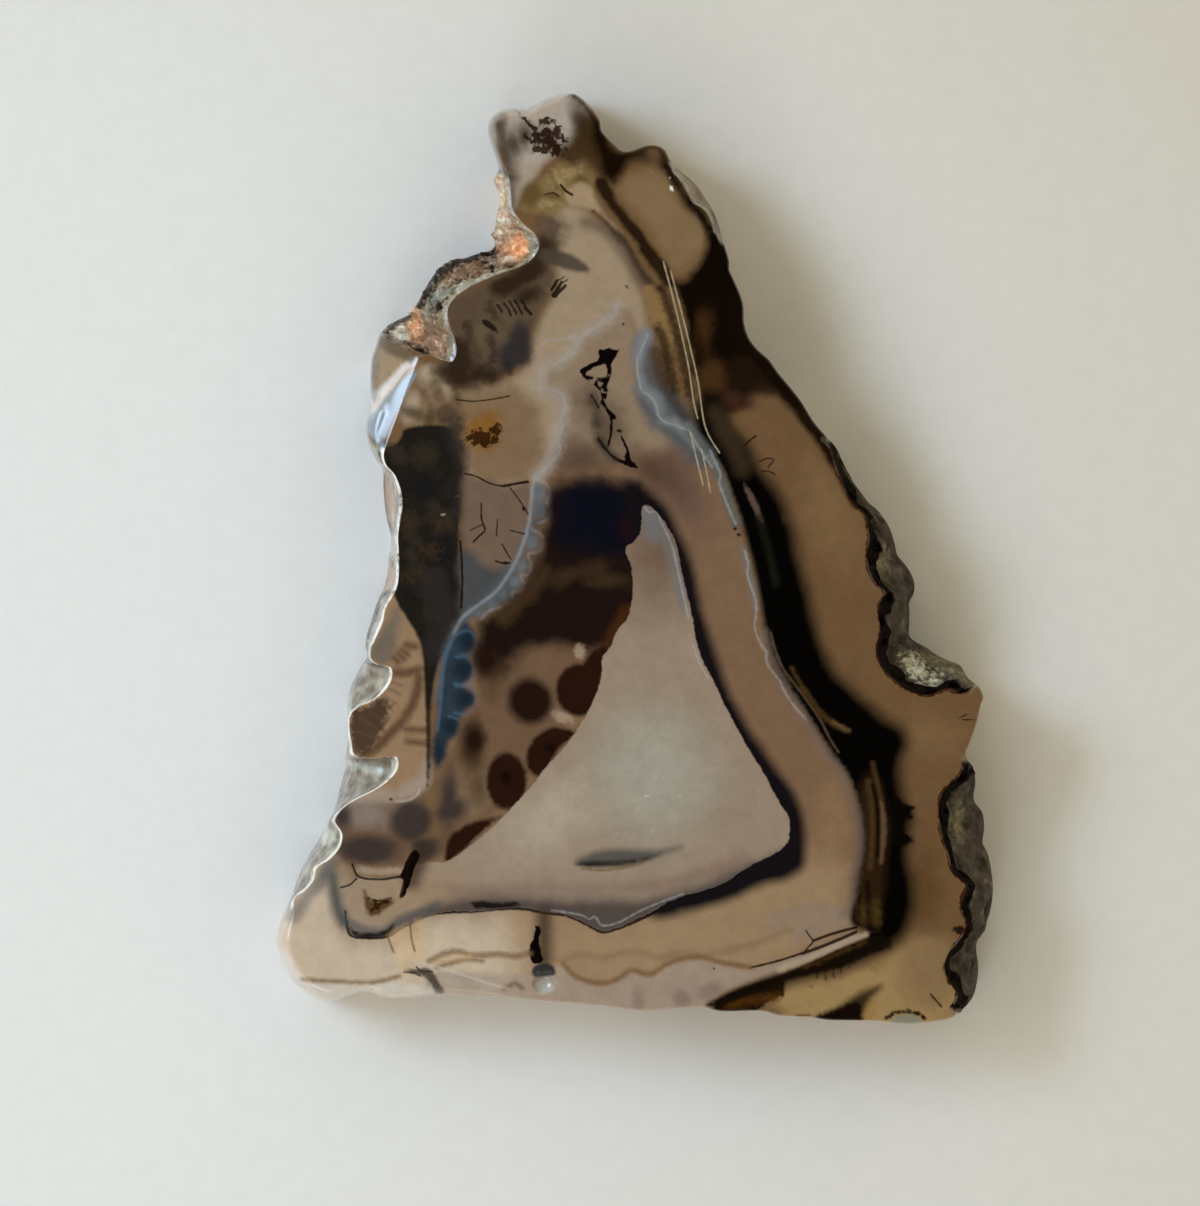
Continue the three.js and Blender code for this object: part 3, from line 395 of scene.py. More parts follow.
        (2, 13.4), (2.2, 12), (1.8, 11.4), (1.2, 12.2), (0.9, 13.4))),
    mark("scratch_dark", "2A1D10", (0.3, 0.2), 0.85, (0.15, FINE), line(0.5, (1.3, 12.6), (1.7, 11.6),
        (1.9, 10.4), (2.2, 9.2)), line(0.4, (1.5, 14.8), (1.9, 13.8), (2.3, 12.6), (2.6, 11.4), (2.9, 10),
        (3.1, 9))),

    # the black band on the right
    mark("amber_corner", "9A8056", (0.7, 0.7), 1.0, (0.4, COARSE), area((7.6, -24.3), (9.5, -23.4),
        (12.5, -22.8), (14.3, -22), (15.6, -21.2), (17, -21.5), (17.4, -23), (18.2, -24.6), (16.6, -26.2),
        (13, -26.2), (9.5, -26), (8, -25.4))),
    mark("corner_tan", "826A4B", (0.9, 0.7), 0.85, (0.3, COARSE), spot(16.4, -22.9, 1.5, 2)),
    mark("black_band", "040302", (0.9, 0.4), 1.0, (0.1, COARSE), area((3.5, 8.2), (4.3, 8.8), (5, 8),
        (5.3, 7.1), (5.9, 6.4), (6.3, 5.8), (6.7, 5), (7.2, 4.3), (7.8, 3.4), (8.2, 2.6), (8.6, 1.4),
        (8.9, 0.2), (9.2, -1), (9.5, -2.2), (9.75, -3.4), (10.1, -4.6), (10.5, -5.6), (11.1, -6.6),
        (12, -7.5), (12.9, -8.3), (13.7, -9), (14.6, -9.5), (14.9, -10.2), (14.6, -11.4), (14.6, -12.6),
        (14.9, -13.8), (15.1, -14.8), (15, -16.2), (15.1, -17.4), (15.3, -18.6), (15.1, -20), (14.6, -21),
        (13.8, -21.6), (12.8, -22), (11.6, -22.6), (10, -23.05), (8.6, -23.35), (7.4, -23.7), (5.5, -24.3),
        (4.2, -24.8), (5, -23.8), (8, -22.8), (11, -21), (11.4, -18), (11.6, -15), (10, -11), (8, -8),
        (6.6, -4), (5.6, 0), (4.7, 3.6), (3.6, 6.2))),
    mark("band_fringe", "1A1006", (0.1, 0.05), 0.7, (0.06, FINE), line(0.08, (10.6, -22.9), (10.6, -23.4)),
        line(0.07, (11, -22.8), (11.05, -23.3)), line(0.07, (11.4, -22.6), (11.45, -23)),
        line(0.06, (10.2, -22.9), (10.1, -23.3)), line(0.06, (11.9, -22.4), (11.9, -22.7)),
        spot(9.8, -23.8, 0.08), line(0.09, (9, -25.42), (9.8, -25.36))),
    mark("black_spurs", "080502", (0.2, 0.12), 1.0, (0.12, FINE), area((14.3, -13.3), (14.9, -13.6),
        (15.5, -13.9), (15.3, -14.1), (15.45, -14.4), (14.9, -14.7), (14.9, -15.2), (15.4, -15.6),
        (15.1, -15.9), (14.4, -15.9))),
    mark("band_rose", "5E4B42", (0.12, 0.1), 0.9, (0.05, FINE), area((6.05, 4.1), (6.35, 3.75), (6.7, 3.2),
        (6.95, 2.6), (7.1, 1.9), (6.9, 2.1), (6.6, 2.7), (6.3, 3.3))),
    mark("band_olive", "191A10", (0.3, 0.2), 0.85, (0.08, COARSE), line(0.25, (6.9, 2.2), (7.3, 0.9),
        (7.6, -0.3), (7.8, -1.4))),
    mark("band_top", "382C1E", (0.5, 0.4), 0.85, (0.1, COARSE), line(0.9, (4.5, 8), (5, 7), (5.6, 5.9),
        (6, 5))),
    mark("band_line", "5E4A34", (0.08, 0.04), 0.6, (0.02, FINE), line(0.09, (7.55, -4.2), (7.8, -5.1),
        (8.2, -6.1), (8.85, -7), (9.6, -8), (10.3, -9), (10.8, -10), (11.3, -10.8))),
    mark("band_inner", "2C1C0D", (0.5, 0.35), 0.9, (0.08, COARSE), area((12.6, -12.6), (13.1, -12),
        (13.5, -12.6), (13.75, -13.6), (13.95, -14.6), (14, -15.6), (13.85, -16.8), (13.75, -18),
        (13.6, -19.2), (13.4, -20.2), (12.4, -20.3), (12.1, -19), (12.3, -17), (12.5, -15), (12.4, -13.6))),
    mark("band_streaks", "4A361E", (0.2, 0.12), 0.85, (0.05, FINE), line(0.08, (8.7, -6.1), (9, -6.7),
        (9.4, -7.3)), line(0.2, (9.3, -7.2), (9.9, -8.1), (10.4, -8.7), (11, -9.2), (11.7, -9.55)),
        line(0.12, (13.2, -11.4), (13.45, -12.5), (13.65, -13.4)), line(0.2, (12.95, -12.4), (13.15, -14),
        (13.2, -15.6), (13.05, -17.2))),
    mark("band_tan", "6A543A", (0.2, 0.12), 0.8, (0.05, FINE), line(0.06, (11, -9.1), (11.4, -9.35),
        (11.9, -9.6)), line(0.12, (13.68, -13.6), (13.78, -14.3)), line(0.2, (13.76, -14.3), (13.8, -15.1),
        (13.76, -15.9)), line(0.1, (13.76, -15.8), (13.66, -16.9))),
    mark("band_dark", "0E0803", (0.15, 0.1), 0.9, (0.05, FINE), line(0.15, (13.2, -12.6), (13.45, -13.8),
        (13.5, -15.2), (13.45, -16.6)), line(0.2, (12.9, -18), (12.95, -19.3), (12.9, -20.1)),
        line(0.14, (12.5, -18.8), (12.5, -19.8)), line(0.3, (12.2, -20.5), (12.9, -20.55), (13.5, -20.7))),
    mark("band_gold", "6B5628", (0.3, 0.2), 0.35, (0.15, FINE), spot(13.4, -19.7, 0.16, 0.5),
        spot(12.68, -19.75, 0.12, 0.35)),
    mark("foot_wedge", "160B03", (0.12, 0.12), 0.97, (0.1, FINE), area((3.9, -24.8), (5, -24.1),
        (6.5, -23.5), (8.2, -23.1), (8.35, -23.7), (8.25, -24.3), (7.6, -24.5), (7, -25), (5.4, -25.6),
        (3.9, -25.6))),
    mark("wedge_red", "4E2E0C", (0.3, 0.2), 0.8, (0.15, FINE), line(0.35, (5.2, -24.8), (6.2, -24.6),
        (7.2, -24.45), (7.9, -24.35))),
    mark("corner_glow", "8A642E", (0.5, 0.4), 0.55, (0.1, COARSE), spot(12.9, -25.0, 0.3, 0.6)),
    mark("corner_smoke", "241A0F", (0.3, 0.25), 0.92, (0.08, COARSE), area((10.3, -25.5), (11.2, -25),
        (12.2, -24.3), (13, -23.9), (13.7, -23.72), (13.3, -24.3), (12.8, -24.9), (12.5, -25.4),
        (12.4, -25.8))),
    mark("corner_wedge", "0F0702", (0.12, 0.25), 0.97, (0.08, FINE), area((9.9, -25.45), (11, -25.05),
        (11.8, -24.7), (12.5, -24.6), (12.7, -25.2), (12.6, -26.2), (10.4, -26.2))),
    mark("corner_bit", "1A100A", (0.08, 0.06), 0.95, (0.08, FINE), line(0.2, (13.9, -25.55), (14.5, -25.25),
        (15.2, -25.15), (15.8, -25.35), (16.1, -25.6)), spot(17.95, -20.65, 0.3, 0.22)),
    mark("corner_stone", "7E8172", (0.1, 0.1), 0.9, (0.08, FINE), area((14.2, -25.65), (14.8, -25.4),
        (15.5, -25.4), (15.9, -25.7), (15.6, -26.2), (14.5, -26.2))),

    # the block, the blue seam and the flank on the left
    mark("flank", "90755A", (0.12, 0.12), 1.0, (0.05, FINE), area((-13.1, -2.5), (-12.6, -3.4),
        (-12.1, -4.2), (-11.75, -5.2), (-11.6, -7), (-11.5, -9), (-11.4, -11), (-11.35, -12.8),
        (-12.4, -13.4), (-13.4, -13.6), (-15, -13.4), (-17.5, -14), (-17.5, -8), (-16.5, -5), (-15.5, -2.6),
        (-14, -1.5))),
    mark("flank_haze", "9C8E80", (0.5, 0.2), 0.7, (0.1, COARSE), area((-11.45, -11.3), (-11.9, -12.2),
        (-12.9, -12.9), (-13.4, -13.4), (-12.4, -13.4), (-11.9, -12.9), (-11.4, -12.8)),
        area((-16.2, -13.2), (-14.4, -12.9), (-13.4, -13.1), (-13.2, -13.6), (-16.2, -13.6))),
    mark("flank_patch", "3E2F25", (0.3, 0.2), 0.9, (0.25, FINE), area((-15.6, -8.5), (-14.8, -8.3),
        (-14.1, -7.9), (-13.7, -8.1), (-13.8, -8.9), (-14.1, -9.7), (-14.6, -10.5), (-15.2, -10.9),
        (-15.6, -10.6), (-15.7, -9.5))),
    mark("flank_brown", "4E3626", (0.35, 0.15), 0.85, (0.05, FINE), line(0.3, (-11.95, -6.6),
        (-12.05, -7.4), (-12.4, -8.3), (-12.9, -9.1), (-13.6, -9.8), (-14.2, -10.5), (-14.9, -10.9)),
        line(0.25, (-13.3, -6.4), (-12.6, -6.4), (-11.9, -6.2)), line(0.18, (-12.6, -4.85), (-12.2, -4.95)),
        line(0.12, (-12.9, -5.1), (-12.6, -5.4)), line(0.12, (-13.1, -5.3), (-12.8, -5.6)),
        line(0.12, (-13.4, -5.5), (-13.1, -5.8)), line(0.08, (-12.7, -9.5), (-11.6, -9.6)),
        line(0.08, (-12.6, -10.2), (-11.6, -10.3))),
    mark("flank_feather", "5E4632", (0.12, 0.03), 0.45, (0.04, FINE), line(0.06, (-13.5, -6.9),
        (-12.9, -7.1)), line(0.06, (-13.6, -7.3), (-13, -7.6)), line(0.06, (-13.9, -7.7), (-13.2, -8.1)),
        line(0.06, (-14, -8), (-13.4, -8.5)), line(0.06, (-14.6, -8.6), (-13.8, -9.1)),
        line(0.06, (-15.2, -8.9), (-14.2, -9.5)), line(0.06, (-15.4, -9.6), (-14.5, -10))),
    mark("flank_grey", "6B6254", (0.3, 0.35), 0.9, (0.2, COARSE), area((-14.8, -5.5), (-14.2, -4.2),
        (-13.5, -3), (-13, -2.6), (-12.95, -3.6), (-13.1, -4.6), (-13.3, -5.4), (-13.7, -5.9),
        (-14.4, -5.9))),
    mark("block", "1E1B16", (0.12, 0.12), 1.0, (0.05, FINE), area((-12.75, 7.1), (-12.2, 7.25), (-11, 7.35),
        (-10.3, 7.2), (-9.9, 6), (-9.6, 5), (-9.4, 4), (-9.6, 3), (-9.75, 1), (-9.7, -1), (-9.5, -3),
        (-10.1, -4.6), (-10.9, -6), (-11.3, -8.5), (-11.3, -10.5), (-11.33, -12.6), (-11.45, -11),
        (-11.55, -9), (-11.65, -7), (-11.75, -5.2), (-12.1, -4.2), (-12.6, -3.4), (-13.1, -2.6),
        (-13.6, -1), (-13.7, 1), (-13.5, 3), (-13.9, 4), (-14.4, 5.2), (-13.9, 6), (-13.1, 6.4)),
        line(0.14, (-11.6, -5.5), (-11.52, -7.5), (-11.48, -9.5), (-11.46, -11.5)), line(0.1, (-11.46, -11),
        (-11.48, -12.7))),
    mark("block_mottle", "342C22", (0.3, 0.3), 0.6, (0.9, COARSE), spot(-11.5, 5.5, 1.2, 0.8),
        spot(-10.8, 2.4, 0.8, 1.2), spot(-12.2, 0.5, 0.6, 1.5), spot(-11.8, -1.5, 0.9, 0.7),
        spot(-11.0, -3.2, 0.6, 0.6), spot(-13.2, 5.6, 0.5, 0.6)),
    mark("block_navy", "14151A", (0.4, 0.3), 0.5, (0.6, COARSE), spot(-11.6, 3.9, 1, 0.7),
        spot(-10.6, 0.2, 0.6, 1.4), spot(-12.4, -1.8, 0.5, 0.8), spot(-10.4, 6.2, 0.5, 0.6)),
    mark("block_brown", "3C2D1C", (0.3, 0.2), 0.6, (0.5, FINE), spot(-12.4, -1.0, 0.6, 0.2),
        spot(-11.4, 0.3, 0.5, 0.3), spot(-10.5, 1.9, 0.4, 0.3), spot(-12.6, 2.0, 0.3, 0.6)),
    mark("block_fade", "2A2522", (0.5, 0.3), 0.9, (0.5, COARSE), line(0.8, (-10.1, 7), (-9.7, 5.2),
        (-9.6, 4), (-9.75, 2.6)), line(0.3, (-9.7, 1.2), (-9.6, -1), (-9.6, -2.8)), line(0.9, (-10.9, -1.4),
        (-10.6, -2.6), (-10.6, -4), (-11, -5.2))),
    mark("cracked_patch", "6E5B4C", (0.4, 0.4), 1.0, (0.15, COARSE), area((-9.4, 4.6), (-8.5, 4.4), (-7, 4),
        (-5.9, 4.2), (-5.5, 3.4), (-5.5, 2), (-5.9, 1.2), (-6.2, 0), (-6.9, -0.9), (-7.8, -0.8), (-9, -0.2),
        (-9.5, 0.8), (-9.5, 2.5))),
    mark("grey_patch", "474849", (0.4, 0.4), 1.0, (0.2, COARSE), area((-9.6, 0.4), (-8.8, 0), (-7.8, -0.6),
        (-6.9, -0.6), (-6.4, -1.4), (-7.2, -2.4), (-8.4, -2.8), (-9.4, -3.4), (-9.6, -2.5))),

    # the ground inside the black band, and its shades
    mark("inner", "7A6049", (0.05, 0.5), 1.0, (0.03, FINE), area(*INNER_EDGE)),
    mark("inner_rose", "5E4A44", (1, 0.8), 0.7, (0.2, COARSE), spot(2.6, 3.6, 1.0, 2.2, 0.4),
        within="inner"),
    mark("inner_light", "8A6F53", (0.8, 0.8), 0.8, (0.2, COARSE), spot(10.9, -15.4, 0.8, 2.4),
        within="inner"),
    mark("foot_middle", "977E61", (1.3, 1.3), 1.0, (0.3, COARSE), area((-7, -19), (-2, -20), (1, -19.4),
        (5, -18), (8, -17), (9.6, -16.4), (11.5, -17.5), (12.2, -20), (9, -22.2), (5, -24.5), (3.5, -26),
        (-7, -26)), within="inner"),
    mark("foot_pale", "BDAC95", (1.6, 1.6), 1.0, (0.3, COARSE), area((-21.5, -18), (-17.8, -16.4),
        (-16.3, -18), (-15.9, -20.6), (-13, -20.6), (-11, -19.8), (-9, -19.8), (-7, -20.5), (-7, -25),
        (-8, -26), (-14, -26.5), (-21.5, -26)), within="inner"),
    mark("foot_grey", "9C8D80", (0.15, 0.4), 0.75, (0.08, COARSE), area((-11.5, -23.1), (-9.5, -22.9),
        (-6, -23), (-4, -22.5), (-3.3, -23.2), (-2, -23.7), (-1, -23.4), (-0.2, -22.9), (0.8, -23.1),
        (2, -22.4), (3.5, -22.1), (5, -22.5), (6.4, -22.75), (8, -22.3), (9.4, -21.9), (10.5, -21.5),
        (12, -20.8), (13, -20.9), (12, -21.4), (10, -22.3), (8, -23.1), (5, -24.2), (3.5, -26), (-6, -26),
        (-11.5, -25.6)), within="inner"),
    mark("foot_rim", "C3BFB6", (0.3, 0.2), 0.75, (0.1, COARSE), line(0.9, (-19.5, -22.4), (-18.7, -23.6),
        (-17.4, -24.2), (-15.8, -24.1), (-14.2, -24.1), (-12.6, -24.2), (-11, -24.4)), within="inner"),
    mark("foot_wave", "7C634B", (0.3, 0.15), 0.5, (0.08, COARSE), line(0.2, (-4, -22.3), (-2.8, -22),
        (-1.8, -22.2), (-0.6, -21.9), (0.4, -21.9), (1.4, -22.2), (2.6, -21.9), (4.2, -22), (5.6, -21.7),
        (7, -21.3), (8.6, -20.6)), within="inner"),
    mark("foot_haze", "85786E", (0.5, 0.3), 0.55, (0.2, COARSE), line(0.7, (7.8, -20.3), (9, -19.8),
        (10.3, -19.6), (11.4, -19.7)), line(0.5, (9, -20.9), (10.5, -20.4), (11.8, -20.1)), within="inner"),
    mark("foot_smudge", "6E5E58", (0.35, 0.2), 0.55, (0.08, COARSE), spot(0.2, -24.6, 0.2, 0.5),
        spot(2.6, -24.5, 0.4, 0.4), spot(4.2, -24.0, 0.6, 0.4, 0.3), within="inner"),
    mark("foot_strip", "AA9881", (0.15, 0.1), 0.8, (0.06, FINE), line(0.3, (8, -22.85), (9.6, -22.25),
        (11.2, -21.55), (12.8, -20.95))),
    mark("lower_branch", "120A04", (0.15, 0.2), 0.97, (0.08, FINE), area((13.6, -20.9), (12.4, -21.25),
        (11.2, -21.8), (10, -22.4), (8.6, -23), (7, -23.5), (5.4, -24.05), (3.9, -24.8), (4.4, -25),
        (6.5, -24.2), (8.4, -23.5), (10, -23.1), (11.6, -22.7), (13, -22.1), (14.3, -21.5))),
    mark("branch_gold", "4E3616", (0.2, 0.1), 0.5, (0.15, FINE), line(0.1, (9.4, -22.75), (10.4, -22.35),
        (11.6, -21.8), (12.8, -21.3))),
    mark("upper_inner", "8A7762", (0.5, 0.6), 1.0, (0.2, COARSE), area((-0.9, 13.8), (-2, 12.8), (-3, 12.2),
        (-3.5, 11.3), (-4.6, 10.4), (-4.9, 9.4), (-4, 8.4), (-3.9, 7.4), (-4.1, 6.4), (-4.4, 5.6),
        (-3.5, 5.4), (-1.5, 5.4), (0.3, 5.6), (1.5, 6), (2.6, 6.8), (1.6, 7.6), (0.6, 8.8), (0.2, 10),
        (0.1, 11.5), (0, 13.2))),
    mark("upper_brown", "4A382C", (0.9, 0.9), 0.75, (0.3, COARSE), spot(-2.5, 8.6, 0.5, 0.8),
        spot(-2.9, 5.6, 1.6, 1), spot(0.9, 4.9, 1.6, 0.8, -0.5), spot(-1.6, 7.2, 1, 1.2)),

    # the milky seam and its bubbles
    mark("milky_patch", "4E5459", (0.45, 0.4), 0.9, (0.25, COARSE), area((0.3, 12.3), (0.7, 12.4),
        (1, 11.4), (1.2, 10.2), (1.7, 9.3), (2.6, 8.4), (3.1, 7.4), (3.6, 6.5), (4.4, 5.7), (3.8, 5),
        (2.8, 5.7), (1.8, 6.5), (0.8, 7.4), (0.2, 8.6), (0.1, 10.5))),
    mark("milky_bright", "84878A", (0.5, 0.3), 0.75, (0.2, COARSE), line(0.35, (0.6, 12.3), (0.35, 11.4),
        (0.25, 10.4), (0.5, 9.5), (1.1, 8.8), (1.4, 8.1)), line(0.35, (1.6, 7.6), (2.6, 7.2), (3.4, 6.4))),
    mark("milky_line", "595D5B", (0.25, 0.2), 0.85, (0.08, FINE), line(0.5, (3, 7), (3.9, 6), (4.4, 5.2),
        (4.75, 4.4), (5, 3.6), (5.3, 2.7), (5.6, 1.9))),
    mark("milky_drop", "706C67", (0.2, 0.2), 0.85, (0.08, FINE), line(0.36, (6, 0.5), (6.2, -0.4),
        (6.4, -1.2), (6.6, -2), (6.7, -2.8))),
    mark("milky_lower", "6F6258", (0.25, 0.2), 0.5, (0.1, FINE), line(0.5, *MILKY_LINE)),
    mark("milky_thread", "A9ACA9", (0.1, 0.05), 0.42, (0.05, FINE), line(0.08, (4.2, 5.9), (4.5, 5.2),
        (4.75, 4.6), (4.7, 4.1), (5, 3.3), (5.3, 2.5), (5.6, 1.9)), line(0.07, (6.1, 0.4), (6.3, -0.4),
        (6.25, -1), (6.45, -1.6), (6.7, -2.3), (6.75, -3), (6.65, -3.8), (6.9, -4.6), (7.2, -5.1)),
        line(0.07, (7.3, -5.2), (7.35, -5.9), (7.7, -6.4), (8.1, -6.9)), line(0.07, (8.2, -7.2),
        (8.6, -7.9), (9, -8.4), (9.5, -9)), line(0.05, (0.75, 12.3), (0.4, 11.6), (0.15, 10.9), (0.2, 10),
        (0.45, 9.2), (0.9, 8.9), (1.2, 8.4), (1.3, 7.9), (1.7, 7.5), (2.2, 7.35), (2.7, 7.15), (3.1, 7)),
        line(0.07, (3, 7.1), (3.5, 6.2), (3.9, 5.6), (4.3, 5))),
    mark("bubble_seam", "A0978E", (0.4, 0.3), 0.55, (0.2, FINE), line(0.7, *BUBBLE_LINE)),
    mark("bubbles", "6A7175", (0.08, 0.5), 0.85, (0.03, FINE), spot(-5.25, 3.55, 0.62),
        spot(-5.2, 2.6, 0.6), spot(-5.65, 0.85, 0.65), spot(-6.2, -0.5, 0.55), spot(-6.6, -1.4, 0.55),
        spot(-7.2, -2.2, 0.55), spot(-7.9, -2.6, 0.5), spot(-8.6, -3.1, 0.45)),
    mark("bubble_haze", "565D64", (0.35, 0.25), 0.7, (0.1, FINE), line(0.45, (-5.35, 3.9), (-5.4, 2.4),
        (-6, 1), (-6.4, 0), (-7, -1), (-7.8, -2), (-8.6, -2.75), (-9.4, -3.4), (-10, -4.3), (-10.4, -5.4),
        (-10.65, -6.8), (-10.8, -8))),
    mark("bubble_rims", "9C9E9F", (0.14, 0.07), 0.48, (0.03, FINE), line(0.03, (-0.95, 14), (-1.1, 13.4),
        (-1.6, 13.3), (-2, 12.8), (-2.6, 12.5), (-3.1, 12), (-3.3, 11.4), (-3.8, 11.1), (-4.4, 10.7)),
        line(0.02, (-3.3, 12.3), (-4, 12.1), (-4.8, 12), (-5.2, 11.7)), line(0.03, (-4.5, 9.3), (-4, 9),
        (-3.85, 8.3), (-4.1, 7.7), (-4, 7.1), (-4.3, 6.6), (-4.1, 6), (-4.4, 5.5), (-4.8, 5), (-5.2, 4.5)),
        line(0.09, (-5.5, 4.35), (-5, 4.15), (-4.65, 3.6), (-4.85, 3.1), (-4.6, 2.6), (-4.8, 2.1),
        (-5.3, 1.9)), line(0.09, (-5.6, 1.5), (-5.2, 1.3), (-5, 0.8), (-5.3, 0.3), (-5.9, 0.15),
        (-5.7, -0.4), (-5.9, -0.95), (-6.3, -1), (-6.1, -1.5), (-6.4, -1.95), (-6.8, -1.9), (-6.7, -2.4),
        (-7.1, -2.7), (-7.6, -2.8), (-8.1, -3), (-8.5, -3.4)), line(0.11, (-4.9, 5), (-5.55, 4.3),
        (-5.75, 3), (-5.85, 2), (-6.1, 1), (-6.4, 0.2), (-6.9, -0.8), (-7.7, -1.9), (-8.6, -2.6),
        (-9.5, -3.3), (-10, -4.2))),
    mark("blue_seam", "223541", (0.12, 0.4), 0.95, (0.04, FINE), area((-9.3, -3.4), (-8.75, -4.2),
        (-8.75, -5), (-9.1, -5.4), (-8.85, -6), (-8.95, -6.7), (-9.3, -7.1), (-8.75, -7.6), (-8.8, -8.2),
        (-9.3, -8.6), (-9.5, -9.2), (-9.7, -9.9), (-10.2, -10.3), (-10.5, -11.2), (-10.9, -11.8),
        (-11.3, -11), (-11.1, -9), (-10.85, -7), (-10.65, -5.6), (-10.15, -4.4), (-9.6, -3.5))),
    mark("blue_bubbles", "15212B", (0.4, 0.3), 0.85, (0.1, FINE), spot(-9.3, -4.65, 0.4),
        spot(-9.5, -6.2, 0.5), spot(-9.4, -7.85, 0.45), spot(-10.2, -9.4, 0.4),
        spot(-10.8, -10.8, 0.3, 0.6)),
    mark("blue_rims", "4A677F", (0.12, 0.06), 0.45, (0.03, FINE), line(0.09, (-9.9, -4.3), (-9.3, -4.05),
        (-8.9, -4.3), (-8.8, -4.9), (-9.1, -5.35), (-9.6, -5.4)), line(0.09, (-9.9, -5.5), (-9.2, -5.6),
        (-8.92, -6.1), (-9, -6.7), (-9.4, -7.05), (-10, -7)), line(0.09, (-9.9, -7.15), (-9.1, -7.2),
        (-8.78, -7.7), (-8.88, -8.3), (-9.4, -8.7), (-10, -8.6)), line(0.08, (-10.3, -8.8), (-9.75, -9),
        (-9.6, -9.6), (-9.95, -10.1)), line(0.12, (-10, -4.2), (-10.45, -5.4), (-10.65, -6.6), (-10.75, -8),
        (-10.95, -9.6))),

    # the spotted band beside the core
    mark("spot_ground", "6C543F", (0.3, 0.3), 1.0, (0.1, COARSE), area((0.5, 2.9), (0.2, 4), (-0.5, 4.4),
        (-2, 4.6), (-3.6, 4.4), (-4.5, 3.6), (-4.5, 2.4), (-5, 1.2), (-5.5, -0.4), (-6.2, -1.8),
        (-7.3, -2.9), (-8.5, -3.7), (-8.6, -5), (-8.8, -6.5), (-8.6, -8), (-9.4, -9), (-10.2, -10.8),
        (-10.9, -11.9), (-11.3, -12.7), (-12.5, -13.6), (-14, -13.8), (-15.8, -13.9), (-16.6, -15),
        (-16.4, -16.4), (-15.5, -17.3), (-13, -17.4), (-12.2, -16.6), (-10.3, -16.4), (-8, -14.4),
        (-5, -11), (-2, -6), (0.3, -2), (0.6, 1))),
    mark("smoky_corner", "80746B", (0.6, 0.6), 0.95, (0.3, COARSE), spot(-14.9, -14.3, 1.5, 0.6),
        spot(-13.2, -13.9, 0.7, 0.3)),
    mark("ground_light", "7F6A52", (0.5, 0.5), 0.85, (0.2, COARSE), spot(-9.0, -13.0, 0.9, 1.3),
        line(0.8, (-15.4, -17.4), (-14, -17.4), (-12.9, -17.5))),
    mark("golden_strip", "705A38", (0.4, 0.3), 0.6, (0.2, COARSE), line(0.4, (-11.3, -13), (-11.2, -14.2),
        (-11.3, -15.4))),
    mark("spot_shade", "1C110D", (0.7, 0.6), 1.0, (0.3, COARSE), area((-4.4, 4), (-2.5, 4.3), (-0.5, 4.1),
        (0.5, 3.4), (0.9, 1), (0.4, -2.4), (-0.5, -4.4), (-1.4, -5.2), (-2.6, -5.1), (-4, -4.8),
        (-5.2, -4.9), (-6.2, -5.2), (-6.9, -5.8), (-7.6, -6.6), (-8.4, -6.6), (-8.8, -5.6), (-8.8, -4.2),
        (-8.2, -3.3), (-7.2, -2.7), (-6.3, -1.8), (-5.7, -0.8), (-5.3, 0.8), (-5.1, 2), (-4.9, 3.2))),
    mark("spot_navy", "0B0D17", (0.9, 0.9), 1.0, (0.2, COARSE), area((-3.8, 3.8), (-2.4, 4.2), (-0.6, 4),
        (0.4, 3.2), (0.6, 1.4), (-0.2, 0.4), (-1.4, 0.2), (-2.8, 0.3), (-4.2, 0.8), (-4.4, 2.4))),
    mark("navy_wine", "260E14", (0.4, 0.3), 0.6, (0.1, COARSE), spot(-0.3, 1.7, 0.5, 0.7)),
    mark("spot_brown", "443220", (0.5, 0.4), 0.75, (0.3, COARSE), spot(-7.9, -6.5, 0.5, 1),
        spot(-9.0, -10.6, 0.7, 1.6), spot(-8.7, -12.6, 0.4, 0.7), line(0.5, (-4.9, -0.7), (-5.6, -1.8),
        (-6.6, -2.8), (-7.4, -3.3)), spot(-3.4, -0.9, 1.2, 0.35, 0.2), spot(-1.6, -1.3, 0.9, 0.3)),
    mark("spot_rust", "4A2A0E", (0.5, 0.3), 0.75, (0.2, COARSE), line(0.4, (-0.5, -3), (-1, -4),
        (-1.6, -4.9))),
    mark("soft_spots", "21120C", (0.4, 0.35), 1.0, (0.12, COARSE), spot(-5.8, -7.95, 1.2),
        spot(-8.2, -5.6, 0.5, 0.8), spot(-8.9, -10.2, 0.5, 0.9)),
    mark("smoky_spots", "382F2D", (0.45, 0.35), 0.95, (0.12, COARSE), spot(-12.4, -14.6, 1.1, 1.1),
        spot(-14.8, -16.2, 1.7, 0.75, -0.05), spot(-10.3, -13.2, 0.35, 1.4), spot(-11.6, -16.1, 0.7, 0.5),
        spot(-10.1, -14.0, 0.8, 0.5, 0.4), spot(-16.2, -14.4, 0.45, 0.6),
        spot(-17.0, -17.4, 0.25, 0.6, -0.7)),
    mark("sharp_spots", "26130B", (0.12, 0.2), 1.0, (0.06, FINE), spot(-3.05, -7.35, 1.35, 1.5),
        area((-3.2, -9.7), (-3.9, -9.45), (-4.6, -9.4), (-5.3, -9.75), (-5.8, -10.3), (-6.05, -11.1),
        (-5.9, -11.8), (-5.4, -12.2), (-5, -12), (-4.2, -10.7)), spot(-7.1, -12.4, 1.15, 1.65),
        area((-7.3, -14.3), (-8, -14.4), (-8.8, -14.6), (-9.7, -15), (-10.3, -15.5), (-10.5, -16.9),
        (-9.6, -16.4), (-8.8, -15.6), (-7.8, -14.7)), area((-1.5, -4.9), (-2.4, -5.2), (-3, -6),
        (-3.8, -6.4), (-2.6, -7.4), (-1.6, -6.4))),
